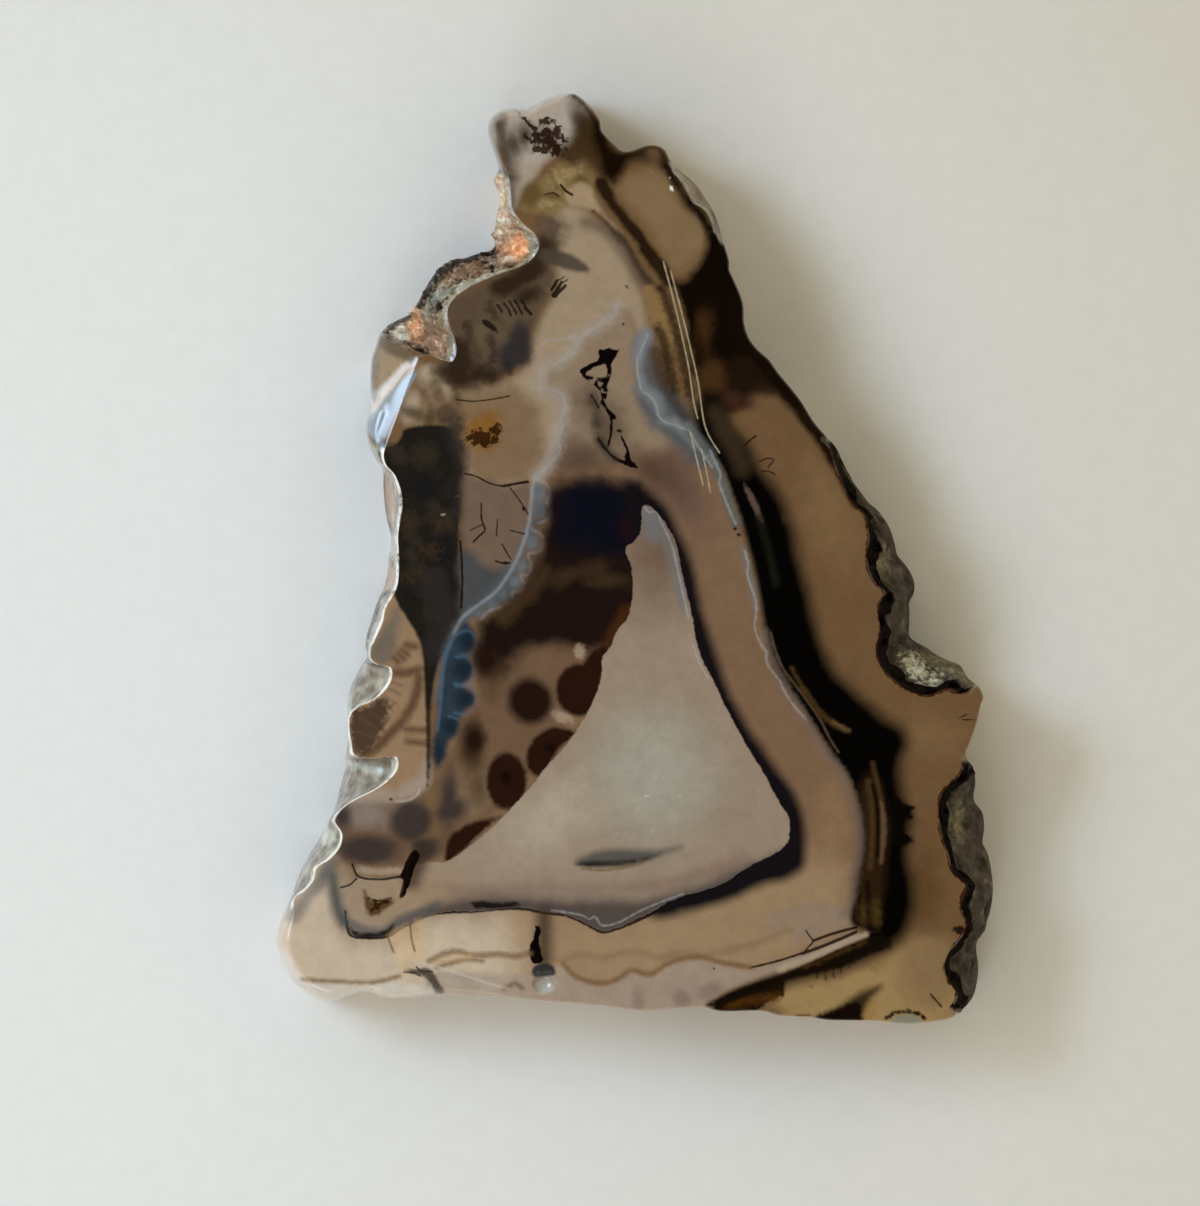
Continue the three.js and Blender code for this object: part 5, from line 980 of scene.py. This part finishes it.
def rim_columns():
    """The sections round the rim, closer together on rough finishes: each lies a share of the way from one
    given section to the next."""
    rows = [(point, finish) for _, finish, points in RIM for point in points]
    widest = np.array([point[:2] for point, _ in rows])
    face = np.array([point[2:] for point, _ in rows])
    finishes = [finish for _, finish in rows]
    lengths = np.linalg.norm(np.roll(widest, -1, axis=0) - widest, axis=1)
    steps = np.array([finish.step for finish in finishes])
    counts = np.maximum(1, np.ceil(lengths / np.minimum(steps, np.roll(steps, -1))).astype(int))
    before = np.repeat(np.arange(len(rows)), counts)
    starts = np.concatenate([[0], np.cumsum(counts)[:-1]])
    share = (np.arange(len(before)) - starts[before]) / counts[before]
    along = (np.cumsum(lengths) - lengths)[before] + lengths[before] * share
    place = before + share
    return curve_through(widest, place), curve_through(face, place), finishes, before, share, along


def fall_profile(finish):
    """The smooth curve of a finish from the face edge to the widest line, as shares out and down."""
    points = ((0.0, 0.0),) + finish.fall + ((1.0, 1.0),)
    places = np.linspace(0, len(points) - 1, UPPER_RINGS + 1)
    return curve_through(points, places, closed=False)


def rough_lift(around, slope, height, look):
    """How far lumps stand out: waves, with uneven ground on the rind and grains on the crystals."""
    waves = sum(np.sin(around * turn + height * rise + start) for turn, rise, start in WAVES) / len(WAVES)
    rough = sum(high * soft_noise(around, slope, size, seed) for high, size, seed in UNEVEN)
    sugar = GRAIN_HEIGHT * grains(around, slope, GRAIN_SIZE, GRAIN_SEED) - GRAIN_DROP
    return waves + look["rind"][:, None] * rough + look["crystal"][:, None] * sugar


def upper_rows(widest, face, along, fall, waist, look, relief):
    """Rows from the face edge out to the widest line by each finish's fall. Lumps push them outwards and
    up, less near the face edge and the widest line."""
    run = widest - face
    width = np.linalg.norm(run, axis=1)
    out, down = fall[:, :, 0], fall[:, :, 1]
    drop = (THICKNESS - waist)[:, None]
    height = THICKNESS - down * drop
    around = along[:, None] + 0 * out
    slope = out * width[:, None] + down * drop
    ends = np.clip(out / FADE_IN, 0, 1) * np.clip((1 - out) / FADE_OUT, 0, 1)
    lift = rough_lift(around, slope, height, look) * relief[:, None] * ends
    outward = run / width[:, None]
    rows = np.empty(out.shape + (3,))
    rows[:, :, :2] = face[:, None] + run[:, None] * out[:, :, None]
    rows[:, :, :2] += outward[:, None] * lift[:, :, None]
    rows[:, :, 2] = height + lift * np.clip((THICKNESS - height) / FADE_DEPTH, 0, 1)
    return rows


def lower_rows(widest, face, waist, draw_back):
    """Rows from just under the widest line to the lower edge, drawn back in by a quarter ellipse."""
    turn = np.linspace(0, math.pi / 2, LOWER_RINGS + 1)[1:]
    inward = (1 - np.cos(turn))[None] * draw_back[:, None]
    rows = np.empty(inward.shape + (3,))
    rows[:, :, :2] = widest[:, None] - (widest - face)[:, None] * inward[:, :, None]
    rows[:, :, 2] = waist[:, None] * (1 - np.sin(turn))[None]
    return rows


def rim_surface():
    """The rim as a grid, columns round the stone and rows from the face edge to the lower edge, with how
    much of each look every column has and how far out its upper rows lie."""
    widest, face, finishes, before, share, along = rim_columns()
    after = (before + 1) % len(finishes)

    def blended(values):
        values = np.asarray(values, dtype=float)
        part = share.reshape((-1,) + (1,) * (values.ndim - 1))
        return values[before] * (1 - part) + values[after] * part

    fall = blended([fall_profile(finish) for finish in finishes])
    waist = THICKNESS * blended([finish.waist for finish in finishes])
    width = np.linalg.norm(widest - face, axis=1)
    relief = np.minimum(blended([finish.relief for finish in finishes]), RELIEF_PER_WIDTH * width)
    draw_back = np.minimum(MOST_UNDERCUT, blended([finish.undercut for finish in finishes]) / width)
    look = {name: blended([getattr(finish, name) for finish in finishes]) for name in LOOKS}
    upper = upper_rows(widest, face, along, fall, waist, look, relief)
    points = np.concatenate([upper, lower_rows(widest, face, waist, draw_back)], axis=1)
    return points, look, fall[:, :, 0] * width[:, None]


def lattice(outline, gap):
    """Staggered rows of places inside a closed outline, no nearer to it than a third of the gap."""
    low, high = outline.min(axis=0), outline.max(axis=0)
    rows = np.arange(low[1], high[1], gap * math.sqrt(3) / 2)
    columns = np.arange(low[0], high[0], gap)
    x = columns[None] + (np.arange(len(rows)) % 2)[:, None] * gap / 2
    y = rows[:, None] + 0 * x
    x, y = x.ravel(), y.ravel()
    path = np.vstack([outline, outline[:1]])
    keep = inside_path(x, y, path)
    x, y = x[keep], y[keep]
    keep = distance_to_path(x, y, path) > gap / 3
    return np.column_stack([x[keep], y[keep]])


def stroke_rows(outline):
    """Rows of places along every thin stroke, one down its middle and one on either side, so that fine
    lines stay clean. Gives the places, and each path with how far its rows reach."""
    lines = [shape for marking in MARKS for shape in marking.shapes if shape[0] == "line"]
    thin = [shape for shape in lines if shape[1] < THIN_STROKE]
    places, paths = [], []
    for _, width, points in thin:
        path = fine_path(points, False, STROKE_STEP)
        run = np.gradient(path, axis=0)
        side = np.column_stack([-run[:, 1], run[:, 0]]) / np.linalg.norm(run, axis=1)[:, None]
        reach = width / 2 + STROKE_MARGIN
        places += [path, path + side * reach, path - side * reach]
        paths.append((path, reach))
    places = np.vstack(places)
    path = np.vstack([outline, outline[:1]])
    keep = inside_path(places[:, 0], places[:, 1], path)
    keep &= distance_to_path(places[:, 0], places[:, 1], path) > CLEAR_OF_EDGE
    return places[keep], paths


def flat_face(outline, inner):
    """A triangulated face over an outline and the places inside it, in that order."""
    places = np.vstack([outline, inner])
    corners = [Vector(place) for place in places.tolist()]
    found = delaunay_2d_cdt(corners, [], [list(range(len(outline)))], INSIDE_ONLY, MERGE_GAP)
    return places, np.array(found[2])


def thinned(places, gap):
    """Drops places that share a square of one gap with an earlier one."""
    cells = np.floor(places / gap).astype(int)
    first = np.unique(cells[:, 0] * CELLS_IN_ROW + cells[:, 1], return_index=True)[1]
    return places[np.sort(first)]


def upper_face(outline):
    """The polished face: a lattice with rows along the thin strokes, dented by the pit's round bowl."""
    strokes, paths = stroke_rows(outline)
    strokes = thinned(strokes, STROKE_SPACING)
    ground = lattice(outline, UPPER_GAP)
    clear = np.ones(len(ground), dtype=bool)
    for path, reach in paths:
        low, high = path.min(axis=0) - NEAR_STROKE, path.max(axis=0) + NEAR_STROKE
        near = np.all((ground > low) & (ground < high), axis=1)
        clear[near] &= distance_to_path(ground[near, 0], ground[near, 1], path) > reach + CLEAR_OF_STROKE
    places, triangles = flat_face(outline, np.vstack([strokes, ground[clear]]))
    from_pit = np.hypot(places[:, 0] - PIT["x"], places[:, 1] - PIT["y"])
    ball = (PIT["radius"] ** 2 + PIT["depth"] ** 2) / (2 * PIT["depth"])
    bowl = np.sqrt(np.maximum(ball ** 2 - from_pit ** 2, 0)) - (ball - PIT["depth"])
    height = THICKNESS - np.clip(bowl, 0, None) * (from_pit < PIT["radius"])
    return np.column_stack([places, height]), triangles


def stone_skin():
    """The closed skin: the rim's grid, with the two faces sewn to its first and last rows."""
    rim, finish, out = rim_surface()
    around, rows = rim.shape[:2]
    upper, upper_triangles = upper_face(rim[:, 0, :2])
    lower_edge = rim[::-1, -1, :2]
    lower, lower_triangles = flat_face(lower_edge, lattice(lower_edge, LOWER_GAP))

    underside = np.column_stack([lower[around:], np.zeros(len(lower) - around)])
    points = np.vstack([rim.reshape(-1, 3), upper[around:], underside])
    first_upper = around * rows
    first_lower = first_upper + len(upper) - around
    column = np.arange(around)
    upper_index = np.concatenate([column * rows, first_upper + np.arange(len(upper) - around)])
    last_row = column[::-1] * rows + rows - 1
    lower_index = np.concatenate([last_row, first_lower + np.arange(len(lower) - around)])
    following = (column + 1) % around
    level = np.arange(rows - 1)
    a = (column[:, None] * rows + level).ravel()
    b = (following[:, None] * rows + level).ravel()
    bands = np.concatenate([np.column_stack([a, a + 1, b]), np.column_stack([b, a + 1, b + 1])])
    lower_faces = turned_down(lower_index[lower_triangles][:, ::-1], points)
    triangles = np.concatenate([bands, upper_index[upper_triangles], lower_faces])
    way_out = np.repeat(out[:, -1:], rows, axis=1)
    way_out[:, :out.shape[1]] = out
    loose = np.zeros(len(upper) + len(lower) - 2 * around)
    keep = {name: np.concatenate([np.repeat(values, rows), loose]) for name, values in finish.items()}
    keep["out"] = np.concatenate([way_out.ravel(), loose])
    return points, triangles, keep


def turned_down(triangles, points):
    """The same triangles, each with its corners in the order that makes it face downwards."""
    a, b, c = (points[triangles[:, k]] for k in range(3))
    rising = np.cross(b - a, c - a)[:, 2] > 0
    return np.where(rising[:, None], triangles[:, ::-1], triangles)


def make_stone():
    """The stone's mesh in metres, with every marking's depth kept on its points, and the markings near its
    rough rim. Bands lean with the drift as they go down, while marks of the rim alone stay upright."""
    points, triangles, keep = stone_skin()
    mesh = bpy.data.meshes.new("agate_stone")
    mesh.from_pydata((points * MM).tolist(), [], triangles.tolist())
    mesh.polygons.foreach_set("use_smooth", np.ones(len(triangles), dtype=bool))
    below = THICKNESS - points[:, 2]
    x = points[:, 0] + DRIFT[0] * below
    y = points[:, 1] + DRIFT[1] * below
    for marking in MARKS:
        keep[marking.name] = depth_in_mark(x, y, marking)
    for marking in RIM_MARKS + CHIP_MARKS:
        keep[marking.name] = depth_in_mark(points[:, 0], points[:, 1], marking)
    keep_on_points(mesh, keep)
    mesh.set_sharp_from_angle(angle=math.radians(SHARP_ANGLE))
    rough = (keep["rind"] + keep["crystal"]) > 0
    on_rough = rough[triangles].any(axis=1)
    mesh.polygons.foreach_set("material_index", on_rough.astype(np.int32))
    stone = bpy.data.objects.new("agate_stone", mesh)
    bpy.context.scene.collection.objects.link(stone)
    return stone, marks_near(np.unique(triangles[on_rough]), keep)


def keep_on_points(mesh, keep):
    """Keeps values on a mesh's points, four of them to a colour attribute."""
    for group, names in enumerate(KEPT_LAYERS):
        four = np.zeros((len(mesh.vertices), PER_LAYER), dtype=np.float32)
        for channel, name in enumerate(names):
            four[:, channel] = keep[name]
        layer = mesh.attributes.new(f"kept_{group}", "FLOAT_COLOR", "POINT")
        layer.data.foreach_set("color", four.ravel())


def marks_near(points, keep):
    """The markings that reach any of the given points, blur and straying edge included."""
    near = []
    for marking in MARKS:
        reach = marking.blur[0] + 2 * marking.wobble[0]
        held = marking.within is None or marking.within in [other.name for other in near]
        if held and keep[marking.name][points].max() > -reach:
            near.append(marking)
    return near


# Materials

class Paint:
    """One output of a material's nodes. Arithmetic adds Math nodes, or Vector Math nodes for vectors."""

    def __init__(self, tree, socket=None):
        self.tree = tree
        self.socket = socket

    def node(self, kind, settings, inputs, output=0):
        """Adds a node: its settings first, a ramp's stops among them, then its sockets' values or links."""
        node = self.tree.nodes.new(kind)
        for name, value in settings.items():
            if name == "stops":
                self.set_stops(node.color_ramp.elements, value)
            else:
                setattr(node, name, value)
        for name, value in inputs.items():
            if isinstance(value, Paint):
                self.tree.links.new(value.socket, node.inputs[name])
            else:
                node.inputs[name].default_value = value
        return Paint(self.tree, node.outputs[output])

    @staticmethod
    def set_stops(elements, stops):
        """Gives a colour ramp its stops, each a place and a colour."""
        while len(elements) < len(stops):
            elements.new(1.0)
        for element, (place, colour) in zip(elements, stops):
            element.position = place
            element.color = colour

    def combine(self, operation, first, second):
        """A Math node, or a Vector Math node where either side is a vector or a colour."""
        sides = [side for side in (first, second) if isinstance(side, Paint)]
        if any(side.socket.type in ("VECTOR", "RGBA") for side in sides):
            return self.node("ShaderNodeVectorMath", {"operation": operation}, {0: first, 1: second})
        return self.node("ShaderNodeMath", {"operation": operation}, {0: first, 1: second})

    def __add__(self, other):
        return self.combine("ADD", self, other)

    def __radd__(self, other):
        return self.combine("ADD", other, self)

    def __sub__(self, other):
        return self.combine("SUBTRACT", self, other)

    def __rsub__(self, other):
        return self.combine("SUBTRACT", other, self)

    def __mul__(self, other):
        return self.combine("MULTIPLY", self, other)

    def __rmul__(self, other):
        return self.combine("MULTIPLY", other, self)

    def output(self, place):
        """Another output of the same node."""
        return Paint(self.tree, self.socket.node.outputs[place])

    def over(self, colour, amount):
        """This colour, covered by another by the given amount."""
        settings = {"data_type": "RGBA", "blend_type": "MIX"}
        return self.node("ShaderNodeMix", settings, {0: amount, 6: self, 7: colour}, output=2)

    def times(self, colour):
        """This colour multiplied by another."""
        settings = {"data_type": "RGBA", "blend_type": "MULTIPLY"}
        return self.node("ShaderNodeMix", settings, {0: 1.0, 6: self, 7: colour}, output=2)

    def eased(self, low, high, top=1.0):
        """0 below the low value and top above the high one, with a smooth step between them."""
        inputs = {"Value": self, "From Min": low, "From Max": high, "To Min": 0.0, "To Max": top}
        return self.node("ShaderNodeMapRange", {"interpolation_type": "SMOOTHSTEP"}, inputs)


def linear(hexadecimal, gain=(1.0, 1.0, 1.0)):
    """A colour written as six hexadecimal digits, as the shader's linear red, green, blue and alpha."""
    parts = [int(hexadecimal[k:k + 2], 16) / 255 for k in (0, 2, 4)]
    parts = [p / 12.92 if p <= 0.04045 else ((p + 0.055) / 1.055) ** 2.4 for p in parts]
    return tuple(min(1.0, p * g) for p, g in zip(parts, gain)) + (1.0,)


def grey(level):
    """An even grey."""
    return (level, level, level, 1)


# How much lighter the stone's own colours are than they look in this light, for red, green and blue
ALBEDO = (1.18, 1.18, 1.245)
POLISH = 0.08
CRYSTAL_ROUGHNESS = 0.3
GLASS_STRENGTH = 0.8
MARGIN_DULLNESS = 0.9
# Noise mostly keeps within a quarter of its middle, so this much of it strays by about one.
NOISE_MIDDLE = 0.5
NOISE_GAIN = 4
# Sizes of lumps in millimetres
MOTTLE_SIZE = 0.8
FLECK_SIZE = 0.9
LUMP_SIZE = 1.1
SUGAR_SIZE = 0.35
BROAD_SIZE = 1.7
PAPER_SIZE = 1.2
# Ramps from the low to the high places of those lumps
MOTTLE_STOPS = ((0.3, grey(0.9)), (0.7, grey(1.08)))
GLASS_STOPS = ((0.3, linear("4E483E")), (0.5, linear("888377")), (0.7, linear("BDB9AC")))
GLASS_GRIT = ((0.3, grey(0.7)), (0.6, grey(1.0)))
CRUST_STOPS = (
    (0.3, linear("332C27")), (0.45, linear("49423D")), (0.6, linear("5C5550")), (0.75, linear("7E786E")),
)
CRYSTAL_STOPS = (
    (0.3, linear("4A3826")), (0.45, linear("9A806A")), (0.58, linear("C0A58B")), (0.7, linear("F0E2D0")),
)
ROUGH_GRIT = ((0.3, grey(0.6)), (0.5, grey(1.0)), (0.68, grey(1.5)))
PAPER_STOPS = ((0.35, grey(0.79)), (0.65, grey(0.81)))
# The lip's pale line, a frosted edge with a painted highlight on it, starts to show and is full at these
# heights of the mottle.
LIP_BREAKS = (0.3, 0.55)
LIP_FROST_AND_HIGHLIGHT = linear("F3F1EA")
BROWN_EDGE = linear("3A1D0C")
BLACK_EDGE = linear("0E0603")
POCKET_EDGE = linear("A89E84")
# How far broad lumps shift the start of the rind and of its two edge lines
RIND_STRAY = 1.2
BROWN_STRAY = 0.3
BLACK_STRAY = 0.2
# Millimetres out from the edge of the face at which each look of the rim starts and is full
GLASS_FROM = (0.1, 0.2)
LIP_FROM = (0.0, 0.02)
LIP_ENDS = (0.13, 0.22)
DULL_FROM = (0.0, 0.06)
BROWN_FROM = (-0.06, 0.0)
BLACK_FROM = (0.03, 0.1)
RIND_FROM = (0.5, 0.6)
POCKET_EDGE_FROM = (0.14, 0.2)
CRYSTAL_FROM = (0.26, 0.36)


def new_material(name):
    """An empty node material with its Principled shader, and a Paint to add nodes with."""
    material = bpy.data.materials.new(name)
    material.use_nodes = True
    shader = material.node_tree.nodes["Principled BSDF"]
    return material, shader, Paint(material.node_tree)


def noise(paint, place, size, detail=3.0, rough=0.55):
    """Noise whose lumps are about one size across, in millimetres."""
    inputs = {"Vector": place, "Scale": 1 / (size * MM), "Detail": detail, "Roughness": rough}
    return paint.node("ShaderNodeTexNoise", {}, inputs)


def ramp(paint, value, stops):
    """A colour ramp read at a value."""
    return paint.node("ShaderNodeValToRGB", {"stops": stops}, {0: value})


def present(share):
    """Where the rim has a look, eased between one finish and the next."""
    return share.eased(0.3, 0.7)


def kept_values(paint):
    """The values kept on the stone's points, by name."""
    values = {}
    for group, names in enumerate(KEPT_LAYERS):
        held = paint.node("ShaderNodeAttribute", {"attribute_name": f"kept_{group}"}, {})
        red = paint.node("ShaderNodeSeparateColor", {"mode": "RGB"}, {0: held})
        channels = [red, red.output(1), red.output(2), held.output(3)]
        values.update(zip(names, channels))
    return values


def marked_colour(paint, place, kept, marks):
    """The stone's colour: its body, then each marking painted over it through its eased, wandering edge."""
    stray = {size: noise(paint, place, size) - NOISE_MIDDLE for size in (FINE, COARSE)}
    colour = None
    masks = {}
    for marking in marks:
        reach, size = marking.wobble
        depth = kept[marking.name] + stray[size] * (reach * NOISE_GAIN)
        mask = depth.eased(-marking.blur[0], marking.blur[1], marking.strength)
        if marking.within:
            mask = mask * masks[marking.within]
        masks[marking.name] = mask
        paint_over = linear(marking.colour, ALBEDO)
        if colour is None:
            settings = {"data_type": "RGBA", "blend_type": "MIX"}
            inputs = {0: mask, 6: linear(BODY_COLOUR, ALBEDO), 7: paint_over}
            colour = paint.node("ShaderNodeMix", settings, inputs, output=2)
        else:
            colour = colour.over(paint_over, mask)
    return colour


def rim_painted(colour, kept, marks, stray, grit, amount):
    """A colour with markings of the rim alone painted over it, each broken up by the same grit."""
    for marking in marks:
        depth = kept[marking.name] + stray * (marking.wobble[0] * NOISE_GAIN)
        mask = depth.eased(-marking.blur[0], marking.blur[1], marking.strength) * amount
        colour = colour.over(grit.times(linear(marking.colour)), mask)
    return colour


def polished_colour(paint, place, kept, marks):
    """The markings under a faint mottle, the chipped rim's grey glass, and the pale line along its lip, a
    frosted edge with a painted highlight.
    """
    mottle = noise(paint, place, MOTTLE_SIZE, detail=4.0, rough=0.7)
    tone = ramp(paint, mottle, MOTTLE_STOPS)
    colour = marked_colour(paint, place, kept, marks).times(tone)
    fleck = noise(paint, place, FLECK_SIZE, detail=2.0)
    chipped = present(kept["lip"])
    rim = chipped * kept["out"].eased(*GLASS_FROM)
    colour = colour.over(ramp(paint, fleck, GLASS_STOPS), rim * GLASS_STRENGTH)
    grit = ramp(paint, fleck, GLASS_GRIT)
    colour = rim_painted(colour, kept, CHIP_MARKS, fleck - NOISE_MIDDLE, grit, rim)
    # the lip's pale line: a frosted edge with a painted highlight
    lip = chipped * kept["out"].eased(*LIP_FROM) * (1 - kept["out"].eased(*LIP_ENDS))
    return colour.over(LIP_FROST_AND_HIGHLIGHT, lip * mottle.eased(*LIP_BREAKS))


def set_body(shader):
    """What is the same all over the stone: its gloss and the light that soaks into it."""
    shader.inputs["IOR"].default_value = 1.54
    shader.inputs["Subsurface Weight"].default_value = 0.15
    shader.inputs["Subsurface Radius"].default_value = (1.0, 0.7, 0.45)
    shader.inputs["Subsurface Scale"].default_value = 0.0012


def polished_material():
    """Polished agate: the markings under a clear gloss."""
    material, shader, paint = new_material("agate")
    place = paint.node("ShaderNodeTexCoord", {}, {}, output=3)
    colour = polished_colour(paint, place, kept_values(paint), MARKS)
    material.node_tree.links.new(colour.socket, shader.inputs["Base Color"])
    shader.inputs["Roughness"].default_value = POLISH
    set_body(shader)
    return material


def edge_lines(colour, kept, on_rind, on_crystal, broad):
    """The brown and black lines along the rind's edge, and the pale edge of the pocket, over a colour."""
    out = kept["out"]
    colour = colour.over(BROWN_EDGE, on_rind * (out + broad * BROWN_STRAY).eased(*BROWN_FROM))
    colour = colour.over(BLACK_EDGE, on_rind * (out + broad * BLACK_STRAY).eased(*BLACK_FROM))
    return colour.over(POCKET_EDGE, on_crystal * out.eased(*POCKET_EDGE_FROM))


def dulled(paint, shader, colour, bump, amount):
    """A glossy shader mixed with a matt one of the same colour and bumps."""
    dull = {"Base Color": colour, "Normal": bump, "Roughness": 1.0, "Specular IOR Level": 0.0}
    matt = paint.node("ShaderNodeBsdfPrincipled", {}, dull)
    glossy = Paint(paint.tree, shader.outputs[0])
    return paint.node("ShaderNodeMixShader", {}, {0: amount, 1: glossy, 2: matt})


def rough_material(marks):
    """Polished agate that runs into dark-edged rind, and into sugary crystals in the pocket."""
    material, shader, paint = new_material("agate_rough")
    place = paint.node("ShaderNodeTexCoord", {}, {}, output=3)
    kept = kept_values(paint)
    colour = polished_colour(paint, place, kept, marks)
    lumps = noise(paint, place, LUMP_SIZE, detail=4.0, rough=0.6)
    sugar = noise(paint, place, SUGAR_SIZE, detail=3.0, rough=0.65)
    broad = noise(paint, place, BROAD_SIZE, detail=2.0) - NOISE_MIDDLE
    on_rind = present(kept["rind"])
    on_crystal = present(kept["crystal"])
    rind_mask = on_rind * (kept["out"] + broad * RIND_STRAY).eased(*RIND_FROM)
    crystal_mask = on_crystal * kept["out"].eased(*CRYSTAL_FROM)
    rough_rim = rind_mask + crystal_mask
    margin = on_rind * kept["out"].eased(*DULL_FROM)

    colour = edge_lines(colour, kept, on_rind, on_crystal, broad)
    colour = colour.over(ramp(paint, lumps, CRUST_STOPS), rind_mask)
    colour = colour.over(ramp(paint, sugar, CRYSTAL_STOPS), crystal_mask)
    stray = noise(paint, place, FINE) - NOISE_MIDDLE
    colour = rim_painted(colour, kept, RIM_MARKS, stray, ramp(paint, sugar, ROUGH_GRIT), rough_rim)
    relief = lumps * rind_mask + sugar * rough_rim
    bump = paint.node("ShaderNodeBump", {}, {"Height": relief, "Strength": 0.35, "Distance": 0.0002})

    tree = material.node_tree
    tree.links.new(colour.socket, shader.inputs["Base Color"])
    tree.links.new((POLISH + crystal_mask * CRYSTAL_ROUGHNESS).socket, shader.inputs["Roughness"])
    tree.links.new(bump.socket, shader.inputs["Normal"])
    set_body(shader)
    shell = dulled(paint, shader, colour, bump, margin * MARGIN_DULLNESS)
    tree.links.new(shell.socket, tree.nodes["Material Output"].inputs["Surface"])
    return material


def paper_material():
    """A matt white floor with a faint unevenness."""
    material, shader, paint = new_material("floor_white")
    place = paint.node("ShaderNodeTexCoord", {}, {}, output=3)
    tone = ramp(paint, noise(paint, place, PAPER_SIZE), PAPER_STOPS)
    material.node_tree.links.new(tone.socket, shader.inputs["Base Color"])
    shader.inputs["Roughness"].default_value = 0.9
    shader.inputs["Specular IOR Level"].default_value = 0.2
    return material


# The studio

FRAME_CENTRE = (-1.917, -2.528)
FRAME_HEIGHT = 67.0
CAMERA_DISTANCE = 900.0
AIM_HEIGHT = 4.0
SENSOR = 36.0
FLOOR_HALF = 1.2
# A warm sky up to a share of the way up, then darker overhead
SKY = (0.84, 0.745, 0.53, 1)
SKY_STOPS = ((0.0, SKY), (0.75, SKY), (0.93, grey(0.01)))


def make_floor():
    """A plain floor under the stone."""
    half = FLOOR_HALF
    corners = [(-half, -half, 0), (half, -half, 0), (half, half, 0), (-half, half, 0)]
    mesh = bpy.data.meshes.new("studio_floor")
    mesh.from_pydata(corners, [], [(0, 1, 2, 3)])
    floor = bpy.data.objects.new("studio_floor", mesh)
    bpy.context.scene.collection.objects.link(floor)
    floor.data.materials.append(paper_material())


def make_light(name, place, aim, size, spread, power, colour):
    """A soft rectangular light, its beam held to a spread of so many degrees."""
    data = bpy.data.lights.new(name, "AREA")
    data.shape = "RECTANGLE"
    data.size, data.size_y = size
    data.spread = math.radians(spread)
    data.energy = power
    data.color = colour
    light = bpy.data.objects.new(name, data)
    light.location = place
    light.rotation_euler = (Vector(aim) - Vector(place)).to_track_quat("-Z", "Y").to_euler()
    light.visible_camera = False
    bpy.context.scene.collection.objects.link(light)


def make_world():
    """Warm light from all round, dim overhead so that the polished face stays clear."""
    world = bpy.data.worlds.new("studio")
    bpy.context.scene.world = world
    world.use_nodes = True
    paint = Paint(world.node_tree)
    place = paint.node("ShaderNodeTexCoord", {}, {}, output=0)
    height = paint.node("ShaderNodeSeparateXYZ", {}, {0: place}, output=2)
    sky = ramp(paint, height, SKY_STOPS)
    world.node_tree.links.new(sky.socket, world.node_tree.nodes["Background"].inputs["Color"])


def make_camera():
    """A long lens straight above, with the narrow tip towards the top of the picture."""
    data = bpy.data.cameras.new("camera")
    data.sensor_width = SENSOR
    data.lens = SENSOR * CAMERA_DISTANCE / FRAME_HEIGHT
    data.clip_start = 0.01
    camera = bpy.data.objects.new("camera", data)
    centre_x, centre_y = FRAME_CENTRE
    camera.location = (centre_x * MM, centre_y * MM, (AIM_HEIGHT + CAMERA_DISTANCE) * MM)
    bpy.context.scene.collection.objects.link(camera)
    bpy.context.scene.camera = camera


stone, marks_by_rough_rim = make_stone()
stone.data.materials.append(polished_material())
stone.data.materials.append(rough_material(marks_by_rough_rim))
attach(stone, "root")
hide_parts(NODE)

make_floor()
make_light("window", place=(-0.16, 0.038, 0.103), aim=(-0.057, -0.008, 0.0), size=(0.15, 0.115),
           spread=42.0, power=0.042, colour=(0.6, 0.78, 1.0))
make_light("fill", place=(-0.05, -0.17, 0.1), aim=(0.0, -0.045, 0.0), size=(0.12, 0.1),
           spread=36.0, power=0.0068, colour=(0.7, 0.82, 1.0))
make_world()
make_camera()
bpy.context.scene.view_settings.view_transform = "Standard"
